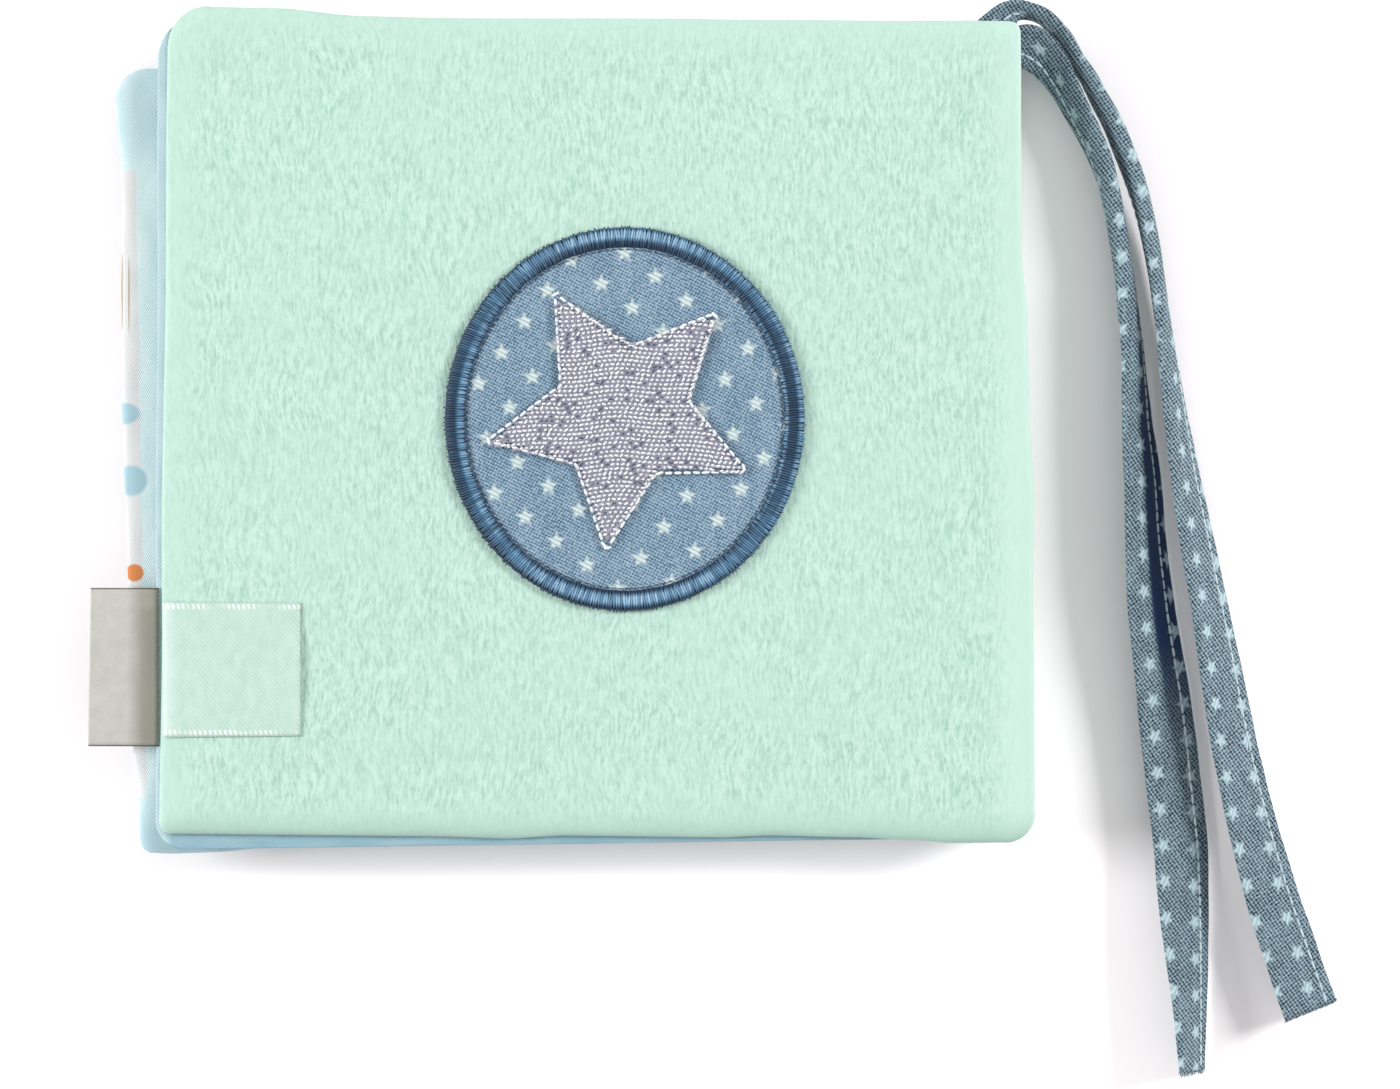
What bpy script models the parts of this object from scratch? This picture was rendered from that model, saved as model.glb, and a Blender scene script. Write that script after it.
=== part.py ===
"""Crinkle cloth book for a baby, closed and lying on its front cover.

Two padded covers and one padded crinkle leaf are sewn together along the spine.
Each is a bag of two fabrics with wadding and a crackling film inside. The back
cover carries an embroidered disc, two labels hang in its free edge, and two
fabric ties come out of the top of the spine.

Metres, +Z up. The origin is the middle of the flat underside. +X points to the
spine and the ties, +Y to the top edge of the book.
"""

import math

import bmesh
import bpy
from mathutils import Matrix, Vector

# Book, fabrics and the clearance between pieces that touch
BOOK_WIDTH = 0.1605
BOOK_HEIGHT = 0.152
FIT_GAP = 0.0003
PLUSH_THICKNESS = 0.0013
COTTON_THICKNESS = 0.0005
FILM_THICKNESS = 0.0004
COVER_WADDING = 0.0031
LEAF_WADDING = 0.0019
PLUSH_CROWN = 0.0006
COVER_ROLL = 0.008
LEAF_ROLL = 0.006
WADDING_INSET = 0.0045
WADDING_ROLL = 0.004
FILM_INSET = 0.009
SEAM_THREAD_RADIUS = 0.0002

# Spine
SPINE_SLOT = 0.003
SPINE_LINING_INSET = 0.0026
SPINE_THREAD_RADIUS = 0.0007
HINGE_CLEARANCE = 0.00015

# Corner places as shares of the half width and the half height, in the order
# free edge top, spine top, spine bottom, free edge bottom
BACK_CORNER_SHARES = ((-0.981, 1.017), (0.977, 0.980), (1.009, -1.012), (-1.002, -0.991))
BACK_LINING_CORNER_SHARES = ((-1.004, 0.990), (0.977, 0.970), (1.009, -1.000), (-1.010, -1.030))
FRONT_CORNER_SHARES = ((-0.970, 0.966), (0.972, 0.961), (1.007, -0.990), (-1.016, -0.980))
LEAF_CORNER_SHARES = ((-1.105, 0.869), (0.972, 0.864), (1.007, -0.971), (-1.048, -1.039))
FREE_TOP_RADIUS = 0.0074
FREE_BOTTOM_RADIUS = 0.0022
SPINE_TOP_RADIUS = 0.002
SPINE_BOTTOM_RADIUS = 0.0052
LINING_BOTTOM_RADIUS = 0.0055
LEAF_TOP_RADIUS = 0.006

# Rim of a sewn bag: lines of the cage from the edge to the middle
LINE_SHARES = (1.0, 0.985, 0.955, 0.91, 0.85, 0.78, 0.52, 0.26, 0.0)
INSET_SHARES = (0.0, 0.0, 0.06, 0.2, 0.475, 1.0)
RISE_SHARES = (0.0, 0.3, 0.62, 0.84, 0.96, 1.0)
WADDING_LINE_SHARES = (1.0, 0.97, 0.9, 0.5, 0.0)
WADDING_INSET_SHARES = (0.0, 0.25, 1.0)
WADDING_RISE_SHARES = (0.0, 0.7, 1.0)

# Embroidered disc on the back cover
DISC_CENTRE_X = 0.0055
DISC_CENTRE_Y = 0.0011
RING_OUTER_X = 0.0331
RING_OUTER_Y = 0.0353
RING_WIDTH = 0.0036
RING_HEIGHT = 0.0011
RING_STEPS = 48
DISC_THICKNESS = 0.0004
DISC_POINTS = 48
RUNNING_STITCH_INSET = 0.0012
STITCH_RADIUS = 0.00022
RING_PROFILE_SHARES = ((0.0, 0.0), (0.06, 0.55), (0.3, 0.92), (0.5, 1.0), (0.7, 0.92),
                       (0.94, 0.55), (1.0, 0.0))

# Embroidered star on the disc
STAR_CENTRE_X = 0.0050
STAR_CENTRE_Y = 0.0020
STAR_TIP_RADIUS = 0.0253
STAR_NOTCH_RADIUS = 0.0125
STAR_TIPS = 5
STAR_TURN = math.radians(119.2)
STAR_FILL_SHARE = 0.93
STAR_HEIGHT = 0.0005

# Labels in the free edge of the back cover
CARE_LABEL_LENGTH = 0.0250
CARE_LABEL_WIDTH = 0.0250
CARE_LABEL_THICKNESS = 0.0003
CARE_LABEL_CENTRE_Y = -0.0450
CARE_LABEL_SETBACK = 0.0006
SIDE_LABEL_LENGTH = 0.0125
SIDE_LABEL_WIDTH = 0.0292
SIDE_LABEL_THICKNESS = 0.0005
SIDE_LABEL_CENTRE_Y = -0.0446
SIDE_LABEL_DROP = 0.0022

# Ties: places of the middle line from the anchor at the top of the spine, height of
# the low edge, roll in degrees from lying flat, width as a share of the full width,
# and thickness. Where a tie turns on its edge the folded cloth rolls up and is thick
TIE_WIDTH = 0.012
TIE_STEPS = 3
TIE_SECTION_SHARES = ((-1, -0.45), (-0.6, -1), (0.6, -1), (1, -0.45),
                      (1, 0.45), (0.6, 1), (-0.6, 1), (-1, 0.45))
INNER_TIE_ROUTE = (
    (-0.0126, 0.0, 0.0075, 0, 0.50, 0.0010),
    (-0.0086, 0.0, 0.0075, 0, 0.50, 0.0010),
    (-0.0046, 0.0, 0.0075, 0, 0.50, 0.0010),
    (-0.0016, 0.0002, 0.0075, 0, 0.53, 0.0010),
    (0.0014, 0.0008, 0.0072, 3, 0.69, 0.0010),
    (0.0041, -0.0008, 0.0063, 14, 0.67, 0.0011),
    (0.0062, -0.0033, 0.0050, 31, 0.63, 0.0013),
    (0.0084, -0.0067, 0.0038, 47, 0.63, 0.0017),
    (0.0108, -0.0112, 0.0032, 53, 0.62, 0.0021),
    (0.0131, -0.0156, 0.0028, 59, 0.63, 0.0025),
    (0.0152, -0.0203, 0.0025, 67, 0.64, 0.0029),
    (0.0169, -0.0262, 0.0022, 77, 0.65, 0.0033),
    (0.0184, -0.0342, 0.0018, 87, 0.66, 0.0036),
    (0.0194, -0.0405, 0.0015, 94, 0.68, 0.0036),
    (0.0201, -0.0468, 0.0012, 105, 0.72, 0.0034),
    (0.0211, -0.0570, 0.0009, 114, 0.82, 0.0027),
    (0.0219, -0.0690, 0.0004, 121, 0.92, 0.0018),
    (0.0229, -0.0801, 0.0004, 126, 0.99, 0.0013),
    (0.0235, -0.0912, 0.0004, 130, 1.00, 0.0011),
    (0.0245, -0.1024, 0.0004, 137, 1.00, 0.0010),
    (0.0260, -0.1135, 0.0004, 143, 1.00, 0.0010),
    (0.0275, -0.1246, 0.0004, 149, 1.00, 0.0010),
    (0.0287, -0.1357, 0.0004, 150, 1.00, 0.0010),
    (0.0299, -0.1468, 0.0004, 149, 1.00, 0.0010),
    (0.0305, -0.1565, 0.0004, 143, 1.00, 0.0010),
    (0.0311, -0.1670, 0.0004, 135, 0.97, 0.0010),
    (0.0317, -0.1780, 0.0004, 124, 0.93, 0.0010),
    (0.0321, -0.1888, 0.0004, 117, 0.90, 0.0010),
)
OUTER_TIE_ROUTE = (
    (-0.0124, 0.0, 0.0089, 0, 0.50, 0.0010),
    (-0.0104, 0.0002, 0.0089, 0, 0.50, 0.0010),
    (-0.0076, 0.0016, 0.0089, 0, 0.50, 0.0010),
    (-0.0051, 0.0038, 0.0089, 0, 0.50, 0.0010),
    (-0.0030, 0.0060, 0.0088, 16, 0.46, 0.0010),
    (-0.0008, 0.0074, 0.0066, 48, 0.46, 0.0014),
    (0.0019, 0.0074, 0.0036, 68, 0.55, 0.0022),
    (0.0048, 0.0062, 0.0032, 73, 0.57, 0.0025),
    (0.0080, 0.0028, 0.0030, 75, 0.60, 0.0026),
    (0.0106, -0.0015, 0.0028, 76, 0.62, 0.0027),
    (0.0128, -0.0050, 0.0027, 75, 0.62, 0.0028),
    (0.0149, -0.0090, 0.0026, 73, 0.63, 0.0029),
    (0.0172, -0.0132, 0.0024, 72, 0.64, 0.0031),
    (0.0195, -0.0186, 0.0022, 73, 0.65, 0.0032),
    (0.0211, -0.0229, 0.0020, 77, 0.65, 0.0033),
    (0.0231, -0.0292, 0.0017, 84, 0.66, 0.0033),
    (0.0246, -0.0362, 0.0014, 90, 0.66, 0.0032),
    (0.0257, -0.0430, 0.0012, 94, 0.68, 0.0030),
    (0.0266, -0.0494, 0.0010, 98, 0.72, 0.0029),
    (0.0276, -0.0572, 0.0008, 107, 0.79, 0.0026),
    (0.0291, -0.0680, 0.0005, 115, 0.88, 0.0020),
    (0.0310, -0.0801, 0.0004, 120, 0.93, 0.0015),
    (0.0331, -0.0912, 0.0004, 124, 0.97, 0.0012),
    (0.0352, -0.1024, 0.0004, 126, 0.98, 0.0010),
    (0.0372, -0.1135, 0.0004, 131, 1.00, 0.0010),
    (0.0391, -0.1246, 0.0004, 135, 1.00, 0.0010),
    (0.0415, -0.1357, 0.0004, 138, 1.00, 0.0010),
    (0.0442, -0.1468, 0.0004, 142, 1.00, 0.0010),
    (0.0474, -0.1580, 0.0004, 147, 1.00, 0.0010),
    (0.0511, -0.1690, 0.0004, 149, 1.00, 0.0010),
    (0.0542, -0.1778, 0.0004, 150, 1.00, 0.0010),
)
BARTACK_LENGTH = 0.0026
BARTACK_CLEARANCE = 0.0004
BARTACK_EDGE = 0.0005

# Sizes that follow from the ones above
HALF_WIDTH = BOOK_WIDTH / 2
HALF_HEIGHT = BOOK_HEIGHT / 2
COVER_THICKNESS = (PLUSH_THICKNESS + COVER_WADDING + FILM_THICKNESS + COTTON_THICKNESS
                   + 3 * FIT_GAP)
LEAF_THICKNESS = 2 * COTTON_THICKNESS + LEAF_WADDING + FILM_THICKNESS + 3 * FIT_GAP
LEAF_BOTTOM = COVER_THICKNESS + FIT_GAP
BACK_BOTTOM = LEAF_BOTTOM + LEAF_THICKNESS + FIT_GAP
BOOK_TOP = BACK_BOTTOM + COVER_THICKNESS
HINGE_Z = LEAF_BOTTOM + LEAF_THICKNESS / 2
FRONT_SEAM_Z = COVER_THICKNESS / 2
BACK_SEAM_Z = BACK_BOTTOM + COVER_THICKNESS / 2
SPINE_LEAF_INSET = PLUSH_THICKNESS + 2 * FIT_GAP
SPINE_REACH = HINGE_Z - FRONT_SEAM_Z - SPINE_SLOT / 2 + FIT_GAP / 2
HINGE_X = HALF_WIDTH * BACK_CORNER_SHARES[2][0] + HINGE_CLEARANCE
SKIN_RISE = (COVER_THICKNESS - FIT_GAP) / 2
LEAF_SKIN_RISE = (LEAF_THICKNESS - FIT_GAP) / 2
TIE_ANCHOR_X = HALF_WIDTH * BACK_CORNER_SHARES[1][0]
TIE_ANCHOR_Y = HALF_HEIGHT * (FRONT_CORNER_SHARES[1][1] + LEAF_CORNER_SHARES[1][1]) / 2
BARTACK_WIDTH = (HALF_HEIGHT * (FRONT_CORNER_SHARES[1][1] - LEAF_CORNER_SHARES[1][1])
                 - 2 * BARTACK_CLEARANCE)
CORNER_SIGNS = ((-1, 1), (1, 1), (1, -1), (-1, -1))


def material(name, colour, roughness):
    """A plain fabric or thread material."""
    made = bpy.data.materials.new(name)
    made.use_nodes = True
    shader = made.node_tree.nodes["Principled BSDF"]
    shader.inputs["Base Color"].default_value = (*colour, 1)
    shader.inputs["Roughness"].default_value = roughness
    shader.inputs["Metallic"].default_value = 0
    return made


def add_object(name, data, finish, parent=None):
    """Link a mesh or curve to the book's collection, carried by a hinge if one is given."""
    made = bpy.data.objects.new(name, data)
    data.materials.append(finish)
    book.objects.link(made)
    if parent:
        made.parent = parent
        made.matrix_parent_inverse = Matrix.Translation(parent.location).inverted()
    return made


def add_hinge(name, place, parent=None):
    """An empty on a joint's axis."""
    made = bpy.data.objects.new(name, None)
    book.objects.link(made)
    made.location = place
    if parent:
        made.parent = parent
        made.matrix_parent_inverse = Matrix.Translation(parent.location).inverted()
    return made


def corners_from(shares):
    """Corner points in metres from their shares of the half sizes."""
    return [Vector((x * HALF_WIDTH, y * HALF_HEIGHT)) for x, y in shares]


def spine_x(corners, y):
    """Where the spine edge between two corners stands at height y."""
    top, bottom = corners[1], corners[2]
    return top.x + (bottom.x - top.x) * (y - top.y) / (bottom.y - top.y)


def moved_spine(corners, inset, guide=None):
    """The same corners with the spine edge moved in from the guide's spine edge."""
    guide = guide or corners
    moved = [corner.copy() for corner in corners]
    for index in (1, 2):
        moved[index].x = spine_x(guide, moved[index].y) - inset
    return moved


def edge_point(outline, u, v):
    """Outline point in the direction (u, v) of the unit square, corners rounded."""
    corners, radii = outline
    point = Vector((0, 0))
    for (sx, sy), corner in zip(CORNER_SIGNS, corners):
        point += corner * ((1 + sx * u) * (1 + sy * v) / 4)
    upright = abs(u) >= abs(v)
    sign = (math.copysign(1, u), math.copysign(1, v))
    index = CORNER_SIGNS.index(sign)
    radius = radii[index]
    half_side = HALF_HEIGHT if upright else HALF_WIDTH
    distance = (1 - min(abs(u), abs(v))) * half_side
    if distance < radius:
        angle = math.pi / 4 * (1 - distance / radius)
        along, across = radius * math.cos(angle), radius * math.sin(angle)
        reach = (along, across) if upright else (across, along)
        centre = corners[index] - Vector((sign[0] * radius, sign[1] * radius))
        point = centre + Vector((sign[0] * reach[0], sign[1] * reach[1]))
    return point


def middle(outline):
    """Mean of the corners."""
    return sum(outline[0], Vector((0, 0))) / len(outline[0])


def inset_point(outline, u, v, scale):
    """Outline point drawn towards the middle."""
    centre = middle(outline)
    return centre + (edge_point(outline, u, v) - centre) * scale


def ring_table(line_shares, inset_shares, rise_shares, roll, rise, crown):
    """Scale and height of each ring of a sewn bag, from the edge to the middle."""
    rings = []
    for index, line in enumerate(line_shares):
        if index < len(inset_shares):
            scale = 1 - inset_shares[index] * roll / HALF_WIDTH
            height = rise_shares[index] * rise
        else:
            last = len(inset_shares) - 1
            scale = (1 - roll / HALF_WIDTH) * line / line_shares[last]
            height = rise
        rings.append((scale, height + crown * (1 - scale * scale)))
    return rings


def wrap_share(outline, u, v):
    """1 on the spine edge, 0 on the other edges, even over the spine's corner arcs."""
    if u < abs(v):
        return 0
    radius = outline[1][1 if v > 0 else 2]
    return min((1 - abs(v)) * HALF_HEIGHT / radius, 1)


def bag_cage(outline, line_shares, rings, base, side, spine_reach=0):
    """Grid cage of one half of a bag, its rings placed by the ring table."""
    cells = 2 * (len(line_shares) - 1)
    cage = bmesh.new()
    bmesh.ops.create_grid(cage, x_segments=cells, y_segments=cells, size=1)
    for vert in cage.verts:
        column = round((vert.co.x + 1) / 2 * cells)
        row = round((vert.co.y + 1) / 2 * cells)
        across = line_shares[min(column, cells - column)] * (1 if column > cells / 2 else -1)
        along = line_shares[min(row, cells - row)] * (1 if row > cells / 2 else -1)
        ring = min(column, cells - column, row, cells - row)
        scale, height = rings[ring]
        if ring == cells / 2:
            place = middle(outline)
        else:
            u, v = across / line_shares[ring], along / line_shares[ring]
            place = inset_point(outline, u, v, scale)
            if ring == 0 and spine_reach:
                height -= spine_reach * wrap_share(outline, u, v)
        vert.co = (place.x, place.y, base + side * height)
    if side < 0:
        bmesh.ops.reverse_faces(cage, faces=cage.faces)
    return cage


def to_mesh(cage, name):
    """Turn a bmesh into a smooth-shaded mesh."""
    mesh = bpy.data.meshes.new(name)
    cage.to_mesh(mesh)
    cage.free()
    mesh.shade_smooth()
    return mesh


def add_solidify(piece, thickness, offset):
    """Give an open surface its fabric thickness."""
    wall = piece.modifiers.new("Fabric", "SOLIDIFY")
    wall.thickness = thickness
    wall.offset = offset
    wall.use_even_offset = True


def skin(name, outline, seam_z, side, rise, roll, thickness, finish, parent=None,
         crown=0, spine_reach=0):
    """One fabric side of a bag: rolled edges, flat or crowned middle, open at the seam."""
    rings = ring_table(LINE_SHARES, INSET_SHARES, RISE_SHARES, roll, rise, crown)
    base = seam_z + side * FIT_GAP / 2
    cage = bag_cage(outline, LINE_SHARES, rings, base, side, spine_reach)
    piece = add_object(name, to_mesh(cage, name), finish, parent)
    add_solidify(piece, thickness, -1)
    return piece


def wadding(name, outline, low, thickness, finish, parent=None):
    """Padding: half of a lens, mirrored at its middle plane."""
    rings = ring_table(WADDING_LINE_SHARES, WADDING_INSET_SHARES, WADDING_RISE_SHARES,
                       WADDING_ROLL, thickness / 2, 0)
    inner = inset_outline(outline, WADDING_INSET)
    cage = bag_cage(inner, WADDING_LINE_SHARES, rings, 0, 1)
    piece = add_object(name, to_mesh(cage, name), finish, parent)
    piece.location.z = low + thickness / 2
    halves = piece.modifiers.new("Halves", "MIRROR")
    halves.use_axis = (False, False, True)
    halves.merge_threshold = 0.00001
    return piece


def inset_outline(outline, inset):
    """The outline with its corners moved in and its radii kept."""
    corners, radii = outline
    moved = [corner - Vector((sx * inset, sy * inset))
             for corner, (sx, sy) in zip(corners, CORNER_SIGNS)]
    return moved, radii


def outline_loop(outline, line_shares):
    """Points once round the outline, with the cage's spacing."""
    steps = [-share for share in line_shares] + [share for share in line_shares[-2::-1]]
    right = [(1, step) for step in steps[:-1]]
    top = [(-step, 1) for step in steps[:-1]]
    left = [(-1, -step) for step in steps[:-1]]
    bottom = [(step, -1) for step in steps[:-1]]
    return [edge_point(outline, u, v) for u, v in right + top + left + bottom]


def flat_curve(name, points, low, thickness, finish, parent=None):
    """A flat piece cut to an outline."""
    curve = bpy.data.curves.new(name, "CURVE")
    curve.dimensions = "2D"
    curve.fill_mode = "BOTH"
    curve.extrude = thickness / 2
    spline = curve.splines.new("POLY")
    spline.points.add(len(points) - 1)
    for target, point in zip(spline.points, points):
        target.co = (point[0], point[1], 0, 1)
    spline.use_cyclic_u = True
    piece = add_object(name, curve, finish, parent)
    piece.location.z = low + thickness / 2
    return piece


def film(name, outline, low, finish, parent=None):
    """Crackling film, cut smaller than the bag."""
    points = outline_loop(inset_outline(outline, FILM_INSET), WADDING_LINE_SHARES)
    return flat_curve(name, points, low, FILM_THICKNESS, finish, parent)


def thread(name, points, radius, finish, parent=None, closed=True):
    """A run of sewing thread along points."""
    curve = bpy.data.curves.new(name, "CURVE")
    curve.dimensions = "3D"
    curve.bevel_depth = radius
    curve.bevel_resolution = 0 if closed else 2
    curve.use_fill_caps = not closed
    spline = curve.splines.new("POLY")
    spline.points.add(len(points) - 1)
    for target, point in zip(spline.points, points):
        target.co = (*point, 1)
    spline.use_cyclic_u = closed
    return add_object(name, curve, finish, parent)


def seam_thread(name, outline, seam_z, side, finish, parent=None):
    """Thread that closes a bag, just inside its wall."""
    inset = PLUSH_THICKNESS + FIT_GAP + SEAM_THREAD_RADIUS
    z = seam_z + side * (FIT_GAP / 2 + FIT_GAP + SEAM_THREAD_RADIUS)
    loop = outline_loop(inset_outline(outline, inset), LINE_SHARES)
    return thread(name, [(point.x, point.y, z) for point in loop], SEAM_THREAD_RADIUS,
                  finish, parent)


def star_points(share):
    """Corners of the five-pointed star, tips and notches in turn."""
    points = []
    for index in range(2 * STAR_TIPS):
        radius = share * (STAR_NOTCH_RADIUS if index % 2 else STAR_TIP_RADIUS)
        angle = STAR_TURN + index * math.pi / STAR_TIPS
        points.append(Vector((STAR_CENTRE_X + radius * math.cos(angle),
                              STAR_CENTRE_Y + radius * math.sin(angle))))
    return points


def smooth_route(route, steps):
    """Points on a smooth curve through the route's own points."""
    rows = [Vector(row[:3]).to_tuple() + row[3:] for row in route]
    rows = [rows[0]] + rows + [rows[-1]]
    made = []
    for index in range(1, len(rows) - 2):
        before, start, end, after = rows[index - 1:index + 3]
        for step in range(steps):
            t = step / steps
            made.append([
                (2 * b + (c - a) * t + (2 * a - 5 * b + 4 * c - d) * t * t
                 + (3 * b - a - 3 * c + d) * t ** 3) / 2
                for a, b, c, d in zip(before, start, end, after)])
    made.append(list(rows[-1]))
    return made


def tie(name, route, finish):
    """A folded fabric tie that leaves the spine, turns on its edge and lies down."""
    rows = smooth_route(route, TIE_STEPS)
    upwards = Vector((0, 0, 1))
    cage = bmesh.new()
    rings = []
    for index, (x, y, low, roll, share, thickness) in enumerate(rows):
        before, after = rows[max(index - 1, 0)], rows[min(index + 1, len(rows) - 1)]
        heading = Vector((after[0] - before[0], after[1] - before[1], 0)).normalized()
        sideways = upwards.cross(heading)
        angle = math.radians(roll)
        half = share * TIE_WIDTH / 2
        rise = half * math.sin(angle) + thickness / 2 * abs(math.cos(angle))
        centre = Vector((TIE_ANCHOR_X + x, TIE_ANCHOR_Y + y, low + rise))
        across = sideways * math.cos(angle) + upwards * math.sin(angle)
        outward = upwards * math.cos(angle) - sideways * math.sin(angle)
        rings.append([cage.verts.new(centre + across * (half * wide)
                                     + outward * (thickness / 2 * deep))
                      for wide, deep in TIE_SECTION_SHARES])
    for ring, following in zip(rings, rings[1:]):
        for index, corner in enumerate(ring):
            cage.faces.new((corner, following[index], following[index - 1], ring[index - 1]))
    cage.faces.new(rings[0])
    cage.faces.new(rings[-1])
    bmesh.ops.recalc_face_normals(cage, faces=cage.faces)
    return add_object(name, to_mesh(cage, name), finish)


def strip(name, profile, centre_y, width, thickness, finish, parent):
    """A label: the profile in x and z, drawn along y, thickness upwards."""
    cage = bmesh.new()
    bmesh.ops.create_grid(cage, x_segments=len(profile) - 1, y_segments=1, size=1)
    for vert in cage.verts:
        x, z = profile[round((vert.co.x + 1) / 2 * (len(profile) - 1))]
        vert.co = (x, centre_y + vert.co.y * width / 2, z)
    piece = add_object(name, to_mesh(cage, name), finish, parent)
    add_solidify(piece, thickness, 1)
    return piece


def free_edge_x(corners, y):
    """Where the free edge stands at height y."""
    top, bottom = corners[0], corners[3]
    return top.x + (bottom.x - top.x) * (y - top.y) / (bottom.y - top.y)


for old in list(bpy.data.objects):
    bpy.data.objects.remove(old, do_unlink=True)
book = bpy.data.collections.new("crinkle_cloth_book")
bpy.context.scene.collection.children.link(book)

mint_plush = material("mint_plush", (0.58, 0.83, 0.72), 0.95)
blue_cotton = material("blue_cotton", (0.42, 0.66, 0.76), 0.85)
pale_cotton = material("pale_cotton", (0.62, 0.72, 0.86), 0.85)
white_wadding = material("white_wadding", (0.85, 0.85, 0.83), 0.98)
clear_film = material("clear_film", (0.75, 0.78, 0.80), 0.25)
mint_thread = material("mint_thread", (0.62, 0.84, 0.74), 0.7)
chambray = material("chambray", (0.17, 0.31, 0.43), 0.85)
steel_blue_thread = material("steel_blue_thread", (0.07, 0.18, 0.32), 0.5)
navy_thread = material("navy_thread", (0.02, 0.05, 0.12), 0.6)
lilac_thread = material("lilac_thread", (0.56, 0.55, 0.65), 0.5)
white_thread = material("white_thread", (0.85, 0.85, 0.88), 0.6)
satin_tape = material("satin_tape", (0.68, 0.82, 0.76), 0.4)
woven_tape = material("woven_tape", (0.40, 0.38, 0.36), 0.8)

COVER_RADII = (FREE_TOP_RADIUS, SPINE_TOP_RADIUS, SPINE_BOTTOM_RADIUS, FREE_BOTTOM_RADIUS)
LINING_RADII = (FREE_TOP_RADIUS, SPINE_TOP_RADIUS, SPINE_BOTTOM_RADIUS, LINING_BOTTOM_RADIUS)
LEAF_RADII = (LEAF_TOP_RADIUS, SPINE_TOP_RADIUS, SPINE_TOP_RADIUS, FREE_BOTTOM_RADIUS)

front_corners = corners_from(FRONT_CORNER_SHARES)
back_corners = corners_from(BACK_CORNER_SHARES)
front = (front_corners, COVER_RADII)
front_lining = (moved_spine(front_corners, SPINE_LINING_INSET), COVER_RADII)
back = (back_corners, COVER_RADII)
back_lining = (moved_spine(corners_from(BACK_LINING_CORNER_SHARES), SPINE_LINING_INSET,
                           back_corners), LINING_RADII)
leaf = (moved_spine(corners_from(LEAF_CORNER_SHARES), SPINE_LEAF_INSET, front_corners),
        LEAF_RADII)

leaf_hinge = add_hinge("leaf_hinge", (HINGE_X, 0, HINGE_Z))
cover_hinge = add_hinge("cover_hinge", (HINGE_X, 0, HINGE_Z), leaf_hinge)

# Front cover: plush underneath, cotton lining on top, padding and film between
skin("front_cover_plush", front, FRONT_SEAM_Z, -1, SKIN_RISE, COVER_ROLL, PLUSH_THICKNESS,
     mint_plush, None, 0, SPINE_REACH)
skin("front_cover_lining", front_lining, FRONT_SEAM_Z, 1, SKIN_RISE, COVER_ROLL,
     COTTON_THICKNESS, pale_cotton)
wadding("front_cover_wadding", front_lining, PLUSH_THICKNESS + FIT_GAP, COVER_WADDING,
        white_wadding)
film("front_cover_crinkle_film", front_lining,
     COVER_THICKNESS - COTTON_THICKNESS - FIT_GAP - FILM_THICKNESS, clear_film)
seam_thread("front_cover_seam_thread", front, FRONT_SEAM_Z, -1, mint_thread)

# Inner leaf: two printed cottons with padding and film between
skin("leaf_front_print", leaf, HINGE_Z, -1, LEAF_SKIN_RISE, LEAF_ROLL, COTTON_THICKNESS,
     blue_cotton, leaf_hinge)
skin("leaf_back_print", leaf, HINGE_Z, 1, LEAF_SKIN_RISE, LEAF_ROLL, COTTON_THICKNESS,
     blue_cotton, leaf_hinge)
LEAF_FILM_LOW = LEAF_BOTTOM + COTTON_THICKNESS + FIT_GAP
film("leaf_crinkle_film", leaf, LEAF_FILM_LOW, clear_film, leaf_hinge)
wadding("leaf_wadding", leaf, LEAF_FILM_LOW + FILM_THICKNESS + FIT_GAP, LEAF_WADDING,
        white_wadding, leaf_hinge)
seam_thread("leaf_seam_thread", leaf, HINGE_Z, 1, white_thread, leaf_hinge)
spine_line = [(spine_x(front_corners, leaf[0][index].y) - SPINE_LEAF_INSET + FIT_GAP
               + SPINE_THREAD_RADIUS, leaf[0][index].y + side * LEAF_TOP_RADIUS, HINGE_Z)
              for index, side in ((1, -1), (2, 1))]
thread("spine_seam_stitching", spine_line, SPINE_THREAD_RADIUS, mint_thread, leaf_hinge, False)

# Back cover: plush on top, cotton lining rolled a little past its free edge
skin("back_cover_plush", back, BACK_SEAM_Z, 1, SKIN_RISE, COVER_ROLL, PLUSH_THICKNESS,
     mint_plush, cover_hinge, PLUSH_CROWN, SPINE_REACH)
skin("back_cover_lining", back_lining, BACK_SEAM_Z, -1, SKIN_RISE, COVER_ROLL,
     COTTON_THICKNESS, pale_cotton, cover_hinge)
BACK_FILM_LOW = BACK_BOTTOM + COTTON_THICKNESS + FIT_GAP
film("back_cover_crinkle_film", back_lining, BACK_FILM_LOW, clear_film, cover_hinge)
wadding("back_cover_wadding", front_lining, BACK_FILM_LOW + FILM_THICKNESS + FIT_GAP,
        COVER_WADDING, white_wadding, cover_hinge)
seam_thread("back_cover_seam_thread", back, BACK_SEAM_Z, 1, mint_thread, cover_hinge)

# Embroidered disc: fabric, satin-stitched ring, running stitch, star and its outline
DISC_LOW = BOOK_TOP + PLUSH_CROWN + FIT_GAP
DISC_TOP = DISC_LOW + DISC_THICKNESS + FIT_GAP
disc_reach = RING_WIDTH + FIT_GAP
disc_loop = [(DISC_CENTRE_X + (RING_OUTER_X - disc_reach) * math.cos(turn),
              DISC_CENTRE_Y + (RING_OUTER_Y - disc_reach) * math.sin(turn))
             for turn in (math.tau * index / DISC_POINTS for index in range(DISC_POINTS))]
flat_curve("applique_disc", disc_loop, DISC_LOW, DISC_THICKNESS, chambray, cover_hinge)

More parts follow.
